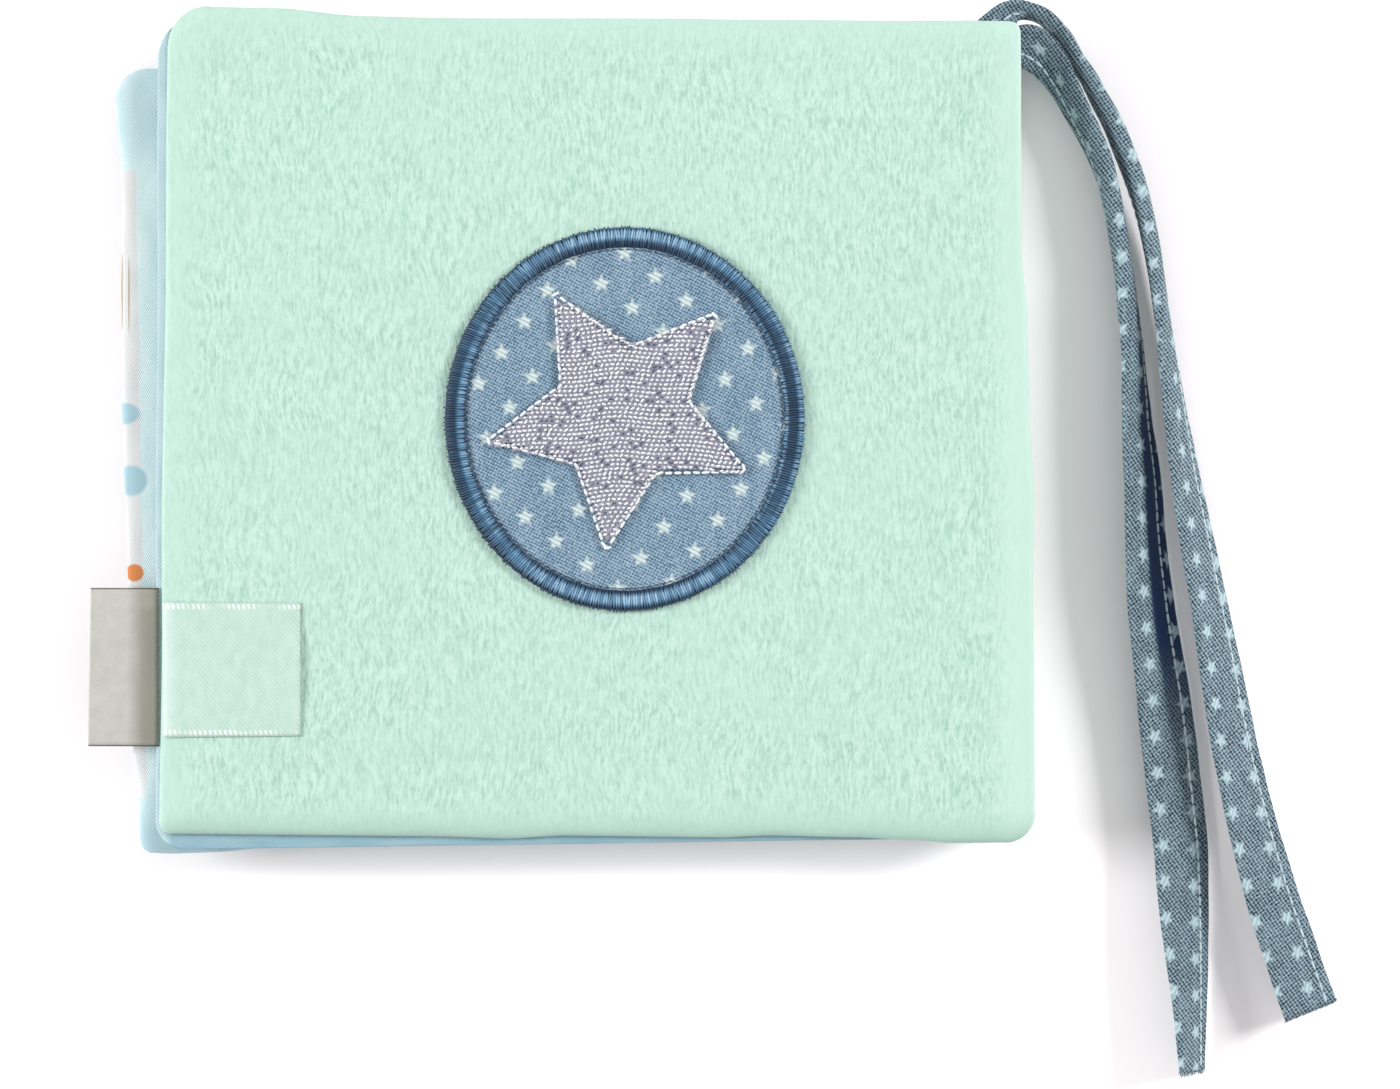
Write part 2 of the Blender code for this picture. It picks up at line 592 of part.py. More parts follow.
ring_cage = bmesh.new()
ring_verts = [ring_cage.verts.new((RING_OUTER_X - RING_WIDTH + share_x * RING_WIDTH, 0,
                                   share_z * RING_HEIGHT))
              for share_x, share_z in RING_PROFILE_SHARES]
for index, vert in enumerate(ring_verts):
    ring_cage.edges.new((vert, ring_verts[(index + 1) % len(ring_verts)]))
satin_ring = add_object("applique_satin_ring", to_mesh(ring_cage, "applique_satin_ring"),
                        steel_blue_thread, cover_hinge)
satin_ring.location = (DISC_CENTRE_X, DISC_CENTRE_Y, DISC_LOW)
satin_ring.scale.y = RING_OUTER_Y / RING_OUTER_X
turned = satin_ring.modifiers.new("Turned", "SCREW")
turned.steps = RING_STEPS
turned.render_steps = RING_STEPS
turned.use_merge_vertices = True
turned.merge_threshold = 0.00001

stitch_reach = disc_reach + RUNNING_STITCH_INSET
stitch_z = DISC_TOP + STITCH_RADIUS
thread("applique_running_stitch",
       [(DISC_CENTRE_X + (RING_OUTER_X - stitch_reach) * math.cos(turn),
         DISC_CENTRE_Y + (RING_OUTER_Y - stitch_reach) * math.sin(turn), stitch_z)
        for turn in (math.tau * index / DISC_POINTS for index in range(DISC_POINTS))],
       STITCH_RADIUS, navy_thread, cover_hinge)
flat_curve("star_embroidery", star_points(STAR_FILL_SHARE), DISC_TOP, STAR_HEIGHT, lilac_thread,
           cover_hinge)
thread("star_outline_stitch", [(point.x, point.y, stitch_z) for point in star_points(1)],
       STITCH_RADIUS, white_thread, cover_hinge)

# Labels sewn into the free edge of the back cover
care_x = free_edge_x(back_corners, CARE_LABEL_CENTRE_Y)
plush_rings = ring_table(LINE_SHARES, INSET_SHARES, RISE_SHARES, COVER_ROLL, SKIN_RISE,
                         PLUSH_CROWN)
label_base = BACK_SEAM_Z + FIT_GAP / 2 + FIT_GAP
care_profile = [(care_x + CARE_LABEL_SETBACK, label_base + plush_rings[2][1])]
for scale, height in plush_rings[3:6]:
    care_profile.append((care_x + (1 - scale) * HALF_WIDTH, label_base + height))
care_profile.append((care_x + CARE_LABEL_SETBACK + CARE_LABEL_LENGTH,
                     BOOK_TOP + PLUSH_CROWN + FIT_GAP))
care_hinge = add_hinge("care_label_hinge", (care_profile[0][0], CARE_LABEL_CENTRE_Y,
                                            care_profile[0][1]), cover_hinge)
strip("care_label", care_profile, CARE_LABEL_CENTRE_Y, CARE_LABEL_WIDTH, CARE_LABEL_THICKNESS,
      satin_tape, care_hinge)

side_x = free_edge_x(back_corners, SIDE_LABEL_CENTRE_Y) - 2 * FIT_GAP
side_z = BACK_SEAM_Z + FIT_GAP / 2
side_hinge = add_hinge("side_label_hinge", (side_x, SIDE_LABEL_CENTRE_Y, side_z), cover_hinge)
strip("side_label", [(side_x - SIDE_LABEL_LENGTH, side_z - SIDE_LABEL_DROP), (side_x, side_z)],
      SIDE_LABEL_CENTRE_Y, SIDE_LABEL_WIDTH, SIDE_LABEL_THICKNESS, woven_tape, side_hinge)

# Ties and the bar of stitches that holds their ends between the covers
tie("inner_tie", INNER_TIE_ROUTE, chambray)
tie("outer_tie", OUTER_TIE_ROUTE, chambray)
bar_cage = bmesh.new()
bar_height = BACK_BOTTOM - COVER_THICKNESS - 2 * FIT_GAP
bmesh.ops.create_cube(bar_cage, size=1,
                      matrix=Matrix.Diagonal((BARTACK_LENGTH, BARTACK_WIDTH, bar_height, 1)))
bartack = add_object("tie_bartack", to_mesh(bar_cage, "tie_bartack"), steel_blue_thread)
bartack.location = (TIE_ANCHOR_X + INNER_TIE_ROUTE[0][0] - FIT_GAP - BARTACK_LENGTH / 2,
                    TIE_ANCHOR_Y, COVER_THICKNESS + FIT_GAP + bar_height / 2)
rounded = bartack.modifiers.new("Rounded", "BEVEL")
rounded.width = BARTACK_EDGE
rounded.segments = 2
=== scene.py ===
# %% [markdown]
# # A crinkle cloth book for a baby
#
# The book lies closed on its front cover, spine to the right. Two padded covers of
# mint plush hold one printed leaf. The back cover carries an embroidered disc, two
# labels hang in its free edge, and two fabric ties leave the top of the spine.
#
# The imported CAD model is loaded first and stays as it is. Every dressed piece is made
# in the same frame, so nothing has to be fitted by eye. Lengths are written in
# millimetres, and turned into metres when a mesh or a node is made.

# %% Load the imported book
import math
from functools import partialmethod

import bpy
from mathutils import Matrix, Vector, noise


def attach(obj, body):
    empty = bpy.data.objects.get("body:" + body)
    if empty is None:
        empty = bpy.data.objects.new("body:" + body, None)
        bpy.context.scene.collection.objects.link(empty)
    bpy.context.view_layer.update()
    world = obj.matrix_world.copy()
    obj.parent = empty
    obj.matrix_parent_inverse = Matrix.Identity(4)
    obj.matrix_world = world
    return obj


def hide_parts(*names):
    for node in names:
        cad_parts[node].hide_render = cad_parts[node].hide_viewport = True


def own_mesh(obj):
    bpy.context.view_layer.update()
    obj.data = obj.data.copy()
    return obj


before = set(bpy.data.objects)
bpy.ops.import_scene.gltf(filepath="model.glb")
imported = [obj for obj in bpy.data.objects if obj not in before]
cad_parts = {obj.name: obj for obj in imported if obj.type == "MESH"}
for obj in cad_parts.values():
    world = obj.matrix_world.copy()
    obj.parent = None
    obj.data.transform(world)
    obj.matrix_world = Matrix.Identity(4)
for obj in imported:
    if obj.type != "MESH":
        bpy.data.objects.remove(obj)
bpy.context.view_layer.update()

MM = 0.001

# %% [markdown]
# ## The camera
#
# The photograph looks straight down from far away. A long lens high above the table
# gives the same view: its frame is 1400 pixels of 0.184 mm wide at the cover's top.

# %% Camera over the middle of the frame
PIXEL = 0.184
FRAME_COLUMNS, FRAME_ROWS = 1400, 1089
ORIGIN_COLUMN, ORIGIN_ROW = 595, 425
COVER_TOP = 17.8
LENS_LENGTH, SENSOR_WIDTH = 250, 36

scene = bpy.context.scene
camera = bpy.data.objects.new("camera", bpy.data.cameras.new("camera"))
scene.collection.objects.link(camera)
camera.data.lens, camera.data.sensor_width = LENS_LENGTH, SENSOR_WIDTH
camera.data.clip_start, camera.data.clip_end = 0.1, 20
camera.location = Vector((
    (FRAME_COLUMNS / 2 - ORIGIN_COLUMN) * PIXEL, (ORIGIN_ROW - FRAME_ROWS / 2) * PIXEL,
    COVER_TOP + FRAME_COLUMNS * PIXEL * LENS_LENGTH / SENSOR_WIDTH)) * MM
scene.camera = camera
print("camera height in m:", round(camera.location.z, 3))

# %% [markdown]
# ## Small helpers for finishes and meshes
#
# A finish is a small network of nodes. `wire` adds one node and gives what it puts out
# as a `Value`. Values can be added and multiplied like numbers, and each such step adds
# its own node. The light is two fifths brighter than white paper needs, as in the
# photograph, where the table is overexposed. So each colour is written as it looks, and
# darkened by that much.

# %% Colours, nodes and values
LIGHT_LEVEL = 1.42


def srgb(colour):
    """A colour as the picture shows it, 0 to 255, as the cloth's own linear colour."""
    shares = [value / 255 for value in colour]
    return [(share / 12.92 if share <= 0.04045 else ((share + 0.055) / 1.055) ** 2.4)
            / LIGHT_LEVEL for share in shares] + [1.0]


def fill(node, inputs):
    """Link each of these inputs of a node, or write its value."""
    for key, value in inputs.items():
        value = getattr(value, "socket", value)
        if isinstance(value, bpy.types.NodeSocket):
            node.id_data.links.new(value, node.inputs[key])
        else:
            node.inputs[key].default_value = value
    return node


def wire(tree, kind, inputs, output=0, **settings):
    """Add a node with its settings and inputs, and give one of its outputs."""
    node = tree.nodes.new(kind)
    for key, value in settings.items():
        setattr(node, key, value)
    return Value(fill(node, inputs).outputs[output])


class Value:
    """What a node puts out, to be reckoned with."""

    def __init__(self, socket):
        self.socket, self.tree = socket, socket.id_data

    def reckon(self, operation, *others):
        """One step of arithmetic with other values or numbers."""
        return wire(self.tree, "ShaderNodeMath", dict(enumerate((self, *others))),
                    operation=operation)

    __add__ = partialmethod(reckon, "ADD")
    __sub__ = partialmethod(reckon, "SUBTRACT")
    __mul__ = partialmethod(reckon, "MULTIPLY")
    __truediv__ = partialmethod(reckon, "DIVIDE")
    __abs__ = partialmethod(reckon, "ABSOLUTE")

    def spread(self, low, high, to_low=0.0, to_high=1.0):
        """Stretch a range of values to another range, and stop at its ends."""
        return wire(self.tree, "ShaderNodeMapRange",
                    {0: self, 1: low, 2: high, 3: to_low, 4: to_high})

    def dye(self, first, second):
        """Mix two colours: this value is the share of the second."""
        first, second = (srgb(colour) if isinstance(colour, tuple) else colour
                         for colour in (first, second))
        return wire(self.tree, "ShaderNodeMix", {0: self, 6: first, 7: second}, 2,
                    data_type="RGBA")


# %% A finish and its patterns
class Finish:
    """A new material, and the places in mm that its pattern follows."""

    def __init__(self, name, roughness, coordinates="Object"):
        self.material = bpy.data.materials.new(name)
        self.material.use_nodes = True
        self.tree, self.roughness = self.material.node_tree, roughness
        self.place, self.x, self.y, self.z = self.axes(coordinates)

    def axes(self, coordinates):
        """A place of this kind, and its three parts in mm."""
        place = wire(self.tree, "ShaderNodeTexCoord", {}, coordinates)
        parts = wire(self.tree, "ShaderNodeSeparateXYZ", {0: place}).socket.node.outputs
        return [place, *(Value(part) / MM for part in parts)]

    def speckle(self, size, detail=2.0, squeeze=(1, 1, 1), place=None):
        """Soft noise whose blobs are about as large as size, in mm."""
        mapped = wire(self.tree, "ShaderNodeMapping", {
            "Vector": place or self.place, "Scale": [share / (size * MM) for share in squeeze]})
        return wire(self.tree, "ShaderNodeTexNoise",
                    {"Vector": mapped, "Scale": 1.0, "Detail": detail})

    def uneven(self, size, squeeze=(1, 1, 1), low=0.0, high=1.0):
        """The thick and thin places of a yarn, as a share from low to high."""
        return self.speckle(size, 3.0, squeeze).spread(0.3, 0.7, low, high)

    def attribute(self, name):
        """A number that the mesh carries."""
        return wire(self.tree, "ShaderNodeAttribute", {}, "Fac", attribute_name=name)

    def paint(self, colour, height=None, depth=0.0, **inputs):
        """Give the shader a colour, and a relief of that depth in mm."""
        shader = fill(self.tree.nodes["Principled BSDF"], {
            "Base Color": colour, "Roughness": self.roughness, "Specular IOR Level": 0.25,
            **{key.replace("_", " "): value for key, value in inputs.items()}})
        if height:
            fill(shader, {"Normal": wire(self.tree, "ShaderNodeBump", {
                "Height": height, "Distance": depth * MM, "Strength": 1.0})})
        return self.material


def length_of(x, y):
    """Length of the step (x, y)."""
    return (x * x + y * y).reckon("SQRT")


def twill(x, y, pitch, slant):
    """Waves of a diagonal weave, from -1 to 1."""
    way = math.tau / pitch
    return (x * (way * math.cos(slant)) + y * (way * math.sin(slant))).reckon("SINE")


# %% Helpers for meshes
def add_piece(name, verts, faces, finish=None, smooth=True):
    """A mesh piece at the origin, its place in its vertices, given in mm."""
    mesh = bpy.data.meshes.new(name)
    mesh.from_pydata([[part * MM for part in vert] for vert in verts], [], faces)
    if finish:
        mesh.materials.append(finish)
    if smooth:
        mesh.shade_smooth()
    piece = bpy.data.objects.new(name, mesh)
    scene.collection.objects.link(piece)
    return piece


def quads(lines):
    """Faces between neighbouring lines of vertex numbers."""
    return [(a, b, d, c) for low, high in zip(lines, lines[1:])
            for a, b, c, d in zip(low, low[1:], high, high[1:])]


def turned(faces):
    """The same faces, their fronts turned to the other side."""
    return [(face[0], *face[:0:-1]) for face in faces]


def ring_of(start, count):
    """Vertex numbers of a ring, the first one again at the end."""
    return [start + step % count for step in range(count + 1)]


def in_rows(items, count):
    """A list cut into rows of that many items."""
    return [items[start:start + count] for start in range(0, len(items), count)]


def triangles(piece):
    """How many triangles a piece has."""
    return sum(len(face.vertices) - 2 for face in piece.data.polygons)


def smoothstep(low, high, value):
    """0 below low, 1 above high, and a soft rise between."""
    share = min(max((value - low) / (high - low), 0), 1)
    return share * share * (3 - 2 * share)


def bumps(x, y, size_x, size_y, seed):
    """Smooth unevenness from -1 to 1, its bumps about as large as the two sizes."""
    return noise.noise(Vector((x / size_x, y / size_y, seed)))


# %% [markdown]
# ## Chambray with small woven stars
#
# Chambray crosses a dark blue yarn with a pale one. From a little distance the two
# mix to a soft denim blue with tiny diagonal flecks. The stars are woven in: at each
# one the pale yarn floats on top. Both are drawn with sums of waves, so the pattern
# never blurs like a picture. The stars follow the cloth. The flecks follow the table's
# plane, so they keep their size where a tie stands on edge. On the inner tie, a strip
# of deeper blue is painted shade, where it stands on edge beside the outer tie.

# %% Stars of the chambray
STAR_REACH, STAR_WAIST = 1.62, 0.78
STAR_SOFTNESS = (-0.2, 0.26)


def star_print(x, y, basis, turn):
    """1 inside the stars of a lattice, 0 outside: basis holds its two steps."""
    (ax, ay), (bx, by) = basis
    area = ax * by - ay * bx

    def from_nearest(first, second):
        share = x * (first / area) + y * (second / area)
        return share - (share + 0.5).reckon("FLOOR")

    step_a, step_b = from_nearest(by, -bx), from_nearest(-ay, ax)
    near_x, near_y = step_a * ax + step_b * bx, step_a * ay + step_b * by
    sector = math.tau / 5
    angle = near_y.reckon("ARCTAN2", near_x) + (sector / 2 - turn + 2 * math.tau)
    folded = abs(angle.reckon("MODULO", sector) - sector / 2)
    side = Vector((STAR_WAIST * math.sin(sector / 2),
                   STAR_REACH - STAR_WAIST * math.cos(sector / 2))).normalized()
    out = length_of(near_x, near_y) * (
        folded.reckon("COSINE") * side.x + folded.reckon("SINE") * side.y)
    low, high = (STAR_REACH * side.x + soft for soft in STAR_SOFTNESS)
    return out.spread(low, high, 1.0, 0.0)


# %% Chambray finish
# Painted shade on the inner tie: where it starts and is full across the cloth, how long it fades
# along the run, and its deep blue colour
SHADE_START, SHADE_FULL, SHADE_FADE = 17.6, 18.2, 20
PAINTED_SHADE_BLUE = (34, 62, 104)
TIE_LOOK = ("UV", ((-0.33, 6.75), (7.0, 1.3)), (0.7, 1.5), 0.6, (0.62, 2.2), 0.64,
            (6, 30, 50), (158, 184, 196), (200, 224, 230))


def chambray(name, coordinates, basis, start, turn, slants, pitch, dark, pale, star,
             painted_shade_run=None):
    """Chambray with woven stars, on object or cloth coordinates; painted shade over a given run."""
    cloth = Finish(name, 0.86, coordinates)
    _, over, down, _ = cloth.axes("Object")
    loose = cloth.speckle(1.1, 1.0).spread(0.2, 0.8, -0.1, 0.1)
    weave = (twill(over + loose, down - loose, pitch, slants[0]) * 0.3
             + twill(over + loose, down - loose, pitch * 0.93, slants[1]) * 0.24)
    share = (weave + cloth.speckle(0.5, 1.0).spread(0.3, 0.7, 0.2, 0.8)
             + cloth.uneven(2.2, (1, 0.35, 1), -0.12, 0.12))
    colour = share.spread(0.05, 0.95).dye(dark, pale)
    # Painted shade: a strip of deeper blue where the inner tie stands on edge in the outer tie's
    # shadow
    if painted_shade_run:
        begin, end = painted_shade_run
        inside = (cloth.x.spread(SHADE_START, SHADE_FULL) * cloth.y.spread(begin, begin + SHADE_FADE)
                  * cloth.y.spread(end - SHADE_FADE, end, 1.0, 0.0))
        colour = inside.dye(colour, PAINTED_SHADE_BLUE)
    across, along = cloth.x + loose, cloth.y - loose
    floats = twill(across, along, 1.35 * pitch, slants[0]).spread(-0.5, 0.6, 0.75, 0.0)
    stars = star_print(across - start[0], along - start[1], basis, turn)
    return cloth.paint(stars.dye(colour, floats.dye(star, pale)), weave + stars * 0.5, 0.05,
                       Sheen_Weight=0.08)


tie_chambray = chambray("tie_chambray", *TIE_LOOK)
# The inner tie's chambray carries the painted shade from 50 to 150 mm along its run
painted_shade_chambray = chambray("painted_shade_tie_chambray", *TIE_LOOK, (50, 150))
print("chambray nodes:", len(tie_chambray.node_tree.nodes))

# %% [markdown]
# ## The two ties
#
# Each tie is a strip of chambray, folded double and sewn shut along one edge, about
# 21 cm long and 12 mm wide. It is limp: it drops off the spine, turns on its edge and
# settles nearly flat on the table. Where it turns on its edge, the folded cloth rolls up
# and is thick. The route repeats the CAD model's rows. A ring of points is swept along
# it, with a dip where the stitches pull the cloth in.

# %% Routes of the ties
TIE_ANCHOR = (78.40425, 69.35)
TIE_WIDTH, TIE_FOLD = 12, 1
TIE_STEPS = 9

# Each row: x and y of the middle line, height of the low edge, roll in degrees, width
# as a share of the tie's, thickness
INNER_TIE_ROUTE = (
    (-12.6, 0.0, 7.5, 0, 0.50, 1.0), (-8.6, 0.0, 7.5, 0, 0.50, 1.0), (-4.6, 0.0, 7.5, 0, 0.50, 1.0),
    (-1.6, 0.2, 7.5, 0, 0.53, 1.0), (1.4, 0.8, 7.2, 3, 0.69, 1.0), (4.1, -0.8, 6.3, 14, 0.67, 1.1),
    (6.2, -3.3, 5.0, 31, 0.63, 1.3), (8.4, -6.7, 3.8, 47, 0.63, 1.7),
    (10.8, -11.2, 3.2, 53, 0.62, 2.1), (13.1, -15.6, 2.8, 59, 0.63, 2.5),
    (15.2, -20.3, 2.5, 67, 0.64, 2.9), (16.9, -26.2, 2.2, 77, 0.65, 3.3),
    (18.4, -34.2, 1.8, 87, 0.66, 3.6), (19.4, -40.5, 1.5, 94, 0.68, 3.6),
    (20.1, -46.8, 1.2, 105, 0.72, 3.4), (21.1, -57.0, 0.9, 114, 0.82, 2.7),
    (21.9, -69.0, 0.4, 121, 0.92, 1.8), (22.9, -80.1, 0.4, 126, 0.99, 1.3),
    (23.5, -91.2, 0.4, 130, 1.00, 1.1), (24.5, -102.4, 0.4, 137, 1.00, 1.0),
    (26.0, -113.5, 0.4, 143, 1.00, 1.0), (27.5, -124.6, 0.4, 149, 1.00, 1.0),
    (28.7, -135.7, 0.4, 150, 1.00, 1.0), (29.9, -146.8, 0.4, 149, 1.00, 1.0),
    (30.5, -156.5, 0.4, 143, 1.00, 1.0), (31.1, -167.0, 0.4, 135, 0.97, 1.0),
    (31.7, -178.0, 0.4, 124, 0.93, 1.0), (32.1, -188.8, 0.4, 117, 0.90, 1.0),
)
OUTER_TIE_ROUTE = (
    (-12.4, 0.0, 8.9, 0, 0.50, 1.0), (-10.4, 0.2, 8.9, 0, 0.50, 1.0),
    (-7.6, 1.6, 8.9, 0, 0.50, 1.0), (-5.1, 3.8, 8.9, 0, 0.50, 1.0), (-3.0, 6.0, 8.8, 16, 0.46, 1.0),
    (-0.8, 7.4, 6.6, 48, 0.46, 1.4), (1.9, 7.4, 3.6, 68, 0.55, 2.2), (4.8, 6.2, 3.2, 73, 0.57, 2.5),
    (8.0, 2.8, 3.0, 75, 0.60, 2.6), (10.6, -1.5, 2.8, 76, 0.62, 2.7),
    (12.8, -5.0, 2.7, 75, 0.62, 2.8), (14.9, -9.0, 2.6, 73, 0.63, 2.9),
    (17.2, -13.2, 2.4, 72, 0.64, 3.1), (19.5, -18.6, 2.2, 73, 0.65, 3.2),
    (21.1, -22.9, 2.0, 77, 0.65, 3.3), (23.1, -29.2, 1.7, 84, 0.66, 3.3),
    (24.6, -36.2, 1.4, 90, 0.66, 3.2), (25.7, -43.0, 1.2, 94, 0.68, 3.0),
    (26.6, -49.4, 1.0, 98, 0.72, 2.9), (27.6, -57.2, 0.8, 107, 0.79, 2.6),
    (29.1, -68.0, 0.5, 115, 0.88, 2.0), (31.0, -80.1, 0.4, 120, 0.93, 1.5),
    (33.1, -91.2, 0.4, 124, 0.97, 1.2), (35.2, -102.4, 0.4, 126, 0.98, 1.0),
    (37.2, -113.5, 0.4, 131, 1.00, 1.0), (39.1, -124.6, 0.4, 135, 1.00, 1.0),
    (41.5, -135.7, 0.4, 138, 1.00, 1.0), (44.2, -146.8, 0.4, 142, 1.00, 1.0),
    (47.4, -158.0, 0.4, 147, 1.00, 1.0), (51.1, -169.0, 0.4, 149, 1.00, 1.0),
    (54.2, -177.8, 0.4, 150, 1.00, 1.0),
)


# %% Smooth the routes
def smooth_route(route, steps):
    """Rows on a smooth curve through the route's own rows."""
    rows = [route[0], *route, route[-1]]
    made = []
    for around in zip(rows, rows[1:], rows[2:], rows[3:]):
        for step in range(steps):
            t = step / steps
            made.append([(2 * b + (c - a) * t + (2 * a - 5 * b + 4 * c - d) * t * t
                          + (3 * b - a - 3 * c + d) * t ** 3) / 2 for a, b, c, d in zip(*around)])
    return made + [list(rows[-1])]


def tie_rows(route):
    """Centre, directions, half width, length so far and thickness of each row."""
    rows = smooth_route(route, TIE_STEPS)
    up = Vector((0, 0, 1))
    made, run = [], 0.0
    for index, (x, y, low, roll, share, thickness) in enumerate(rows):
        before, after = rows[max(index - 1, 0)], rows[min(index + 1, len(rows) - 1)]
        sideways = up.cross(Vector((after[0] - before[0], after[1] - before[1], 0)).normalized())
        sine, cosine = math.sin(math.radians(roll)), math.cos(math.radians(roll))
        half = share * TIE_WIDTH / 2
        centre = Vector((TIE_ANCHOR[0] + x, TIE_ANCHOR[1] + y,
                         low + half * sine + thickness / 2 * abs(cosine)))
        if made:
            run += (centre - made[-1][0]).length
        made.append((centre, sideways * cosine + up * sine, up * cosine - sideways * sine,
                     half, run, thickness))
    return made


print("routes:", len(INNER_TIE_ROUTE), len(OUTER_TIE_ROUTE), "rows")

# %% Section of a tie
STITCH_INSET, STITCH_DIP, STITCH_REACH = 2.4, 0.22, 0.45
CREASE_INSET, CREASE_DEPTH, CREASE_REACH = 1.2, 0.34, 0.22
EDGE_ROUNDING, TIE_THINNEST = 0.55, 0.02
TIE_CEILING, CEILING_SOFTNESS = 10.2, 0.6
BOOK_END_X = 80
SECTION_SHARES = (0.0, 0.012, 0.05, 0.11, 0.155, 0.2, 0.25, 0.34, 0.46, 0.6, 0.74, 0.86, 0.95,
                  0.988, 1.0)


def tie_height(place, width, thickness, crease):
    """Half the thickness of the folded tie at a distance from its sewn edge."""
    edge = min(place, width - place)
    flat = TIE_FOLD / 2 * math.sqrt(max(1 - (1 - min(edge / EDGE_ROUNDING, 1)) ** 2, 0))
    rolled = thickness / 2 * math.sqrt(max(1 - (2 * place / width - 1) ** 2, 0))
    dip = STITCH_DIP * math.exp(-((place - STITCH_INSET) / STITCH_REACH) ** 2)
    fold = CREASE_DEPTH * crease * math.exp(-((place - CREASE_INSET) / CREASE_REACH) ** 2)
    return max(max(flat, rolled) - dip - fold, TIE_THINNEST if 0 < edge else 0)


def keep_low(point):
    """The point, or one lower down where the tie would show through the turned leaf."""
    over = point.z - TIE_CEILING + CEILING_SOFTNESS
    if point.x > BOOK_END_X and over > 0:
        point.z = TIE_CEILING - CEILING_SOFTNESS * math.exp(-over / CEILING_SOFTNESS)
    return point


# %% Sweep the section along each route
TIE_FLOOR, TIE_WAVE, TIE_RIPPLE = 0.1, 0.22, 0.14
CREASE_GROWTH = 0.1


def make_tie(name, route, crease_start, seed, finish):
    """The tie's closed mesh with its cloth coordinates, and the line that it follows."""
    rows = tie_rows(route)
    ring = [(share, 1) for share in SECTION_SHARES] + [
        (share, -1) for share in SECTION_SHARES[-2:0:-1]]
    verts = []
    for centre, across, outward, half, run, thickness in rows:
        crease = smoothstep(crease_start, crease_start + CREASE_GROWTH, run / rows[-1][4])
        wave = TIE_WAVE * bumps(run, seed, 11, 1, 3.5)
        for share, face in ring:
            place = share * 2 * half
            lift = (face * tie_height(place, 2 * half, thickness, crease)
                    + TIE_RIPPLE * bumps(run, share * 2, 7, 1, seed))
            point = centre + across * (place - half + wave) + outward * lift
            point.z = max(point.z, TIE_FLOOR)
            verts.append(keep_low(point))
    ids = [ring_of(row * len(ring), len(ring)) for row in range(len(rows))]
    around = [(share if face > 0 else 2 - share) * TIE_WIDTH for share, face in ring]
    cloth = [[(way * MM, row[4] * MM) for way in around + [2 * TIE_WIDTH]] for row in rows]
    faces, places = turned(quads(ids)), turned(quads(cloth))
    for row, way in ((0, 1), (-1, -1)):
        faces.append(ids[row][:-1][::way])
        places.append(cloth[row][:-1][::way])
    piece = add_piece(name, verts, faces, finish)
    layer = piece.data.uv_layers.new(name="cloth")
    for corner, place in zip(layer.data, (place for face in places for place in face)):
        corner.uv = place
    print(name, triangles(piece), "triangles,", round(rows[-1][4], 1), "mm long")
    return piece, rows


inner_tie, inner_rows = make_tie("inner_tie_cloth", INNER_TIE_ROUTE, 0.72, 1.3, painted_shade_chambray)
outer_tie, outer_rows = make_tie("outer_tie_cloth", OUTER_TIE_ROUTE, 2.0, 7.9, tie_chambray)

# %% [markdown]
# ## Stitches and other repeated threads
#
# A sewing machine repeats one stitch along a path, so Geometry Nodes do the same. The
# tree resamples a path at the stitch pitch and puts one low thread shape on each
# point, turned to the path, with a little spread in length and turn from a fixed
# seed. The same tree later makes the satin ring, the star's filling and its outline.

# %% The sewing tree
SEWING_INPUTS = {"Geometry": "Geometry", "Path": "Object", "Thread Shape": "Object",
                 "Pitch": "Float", "Thread Size": "Vector", "Length Spread": "Float",
                 "Turn From Path": "Float", "Turn Spread": "Float", "Seed": "Int",
                 "Finish": "Material"}


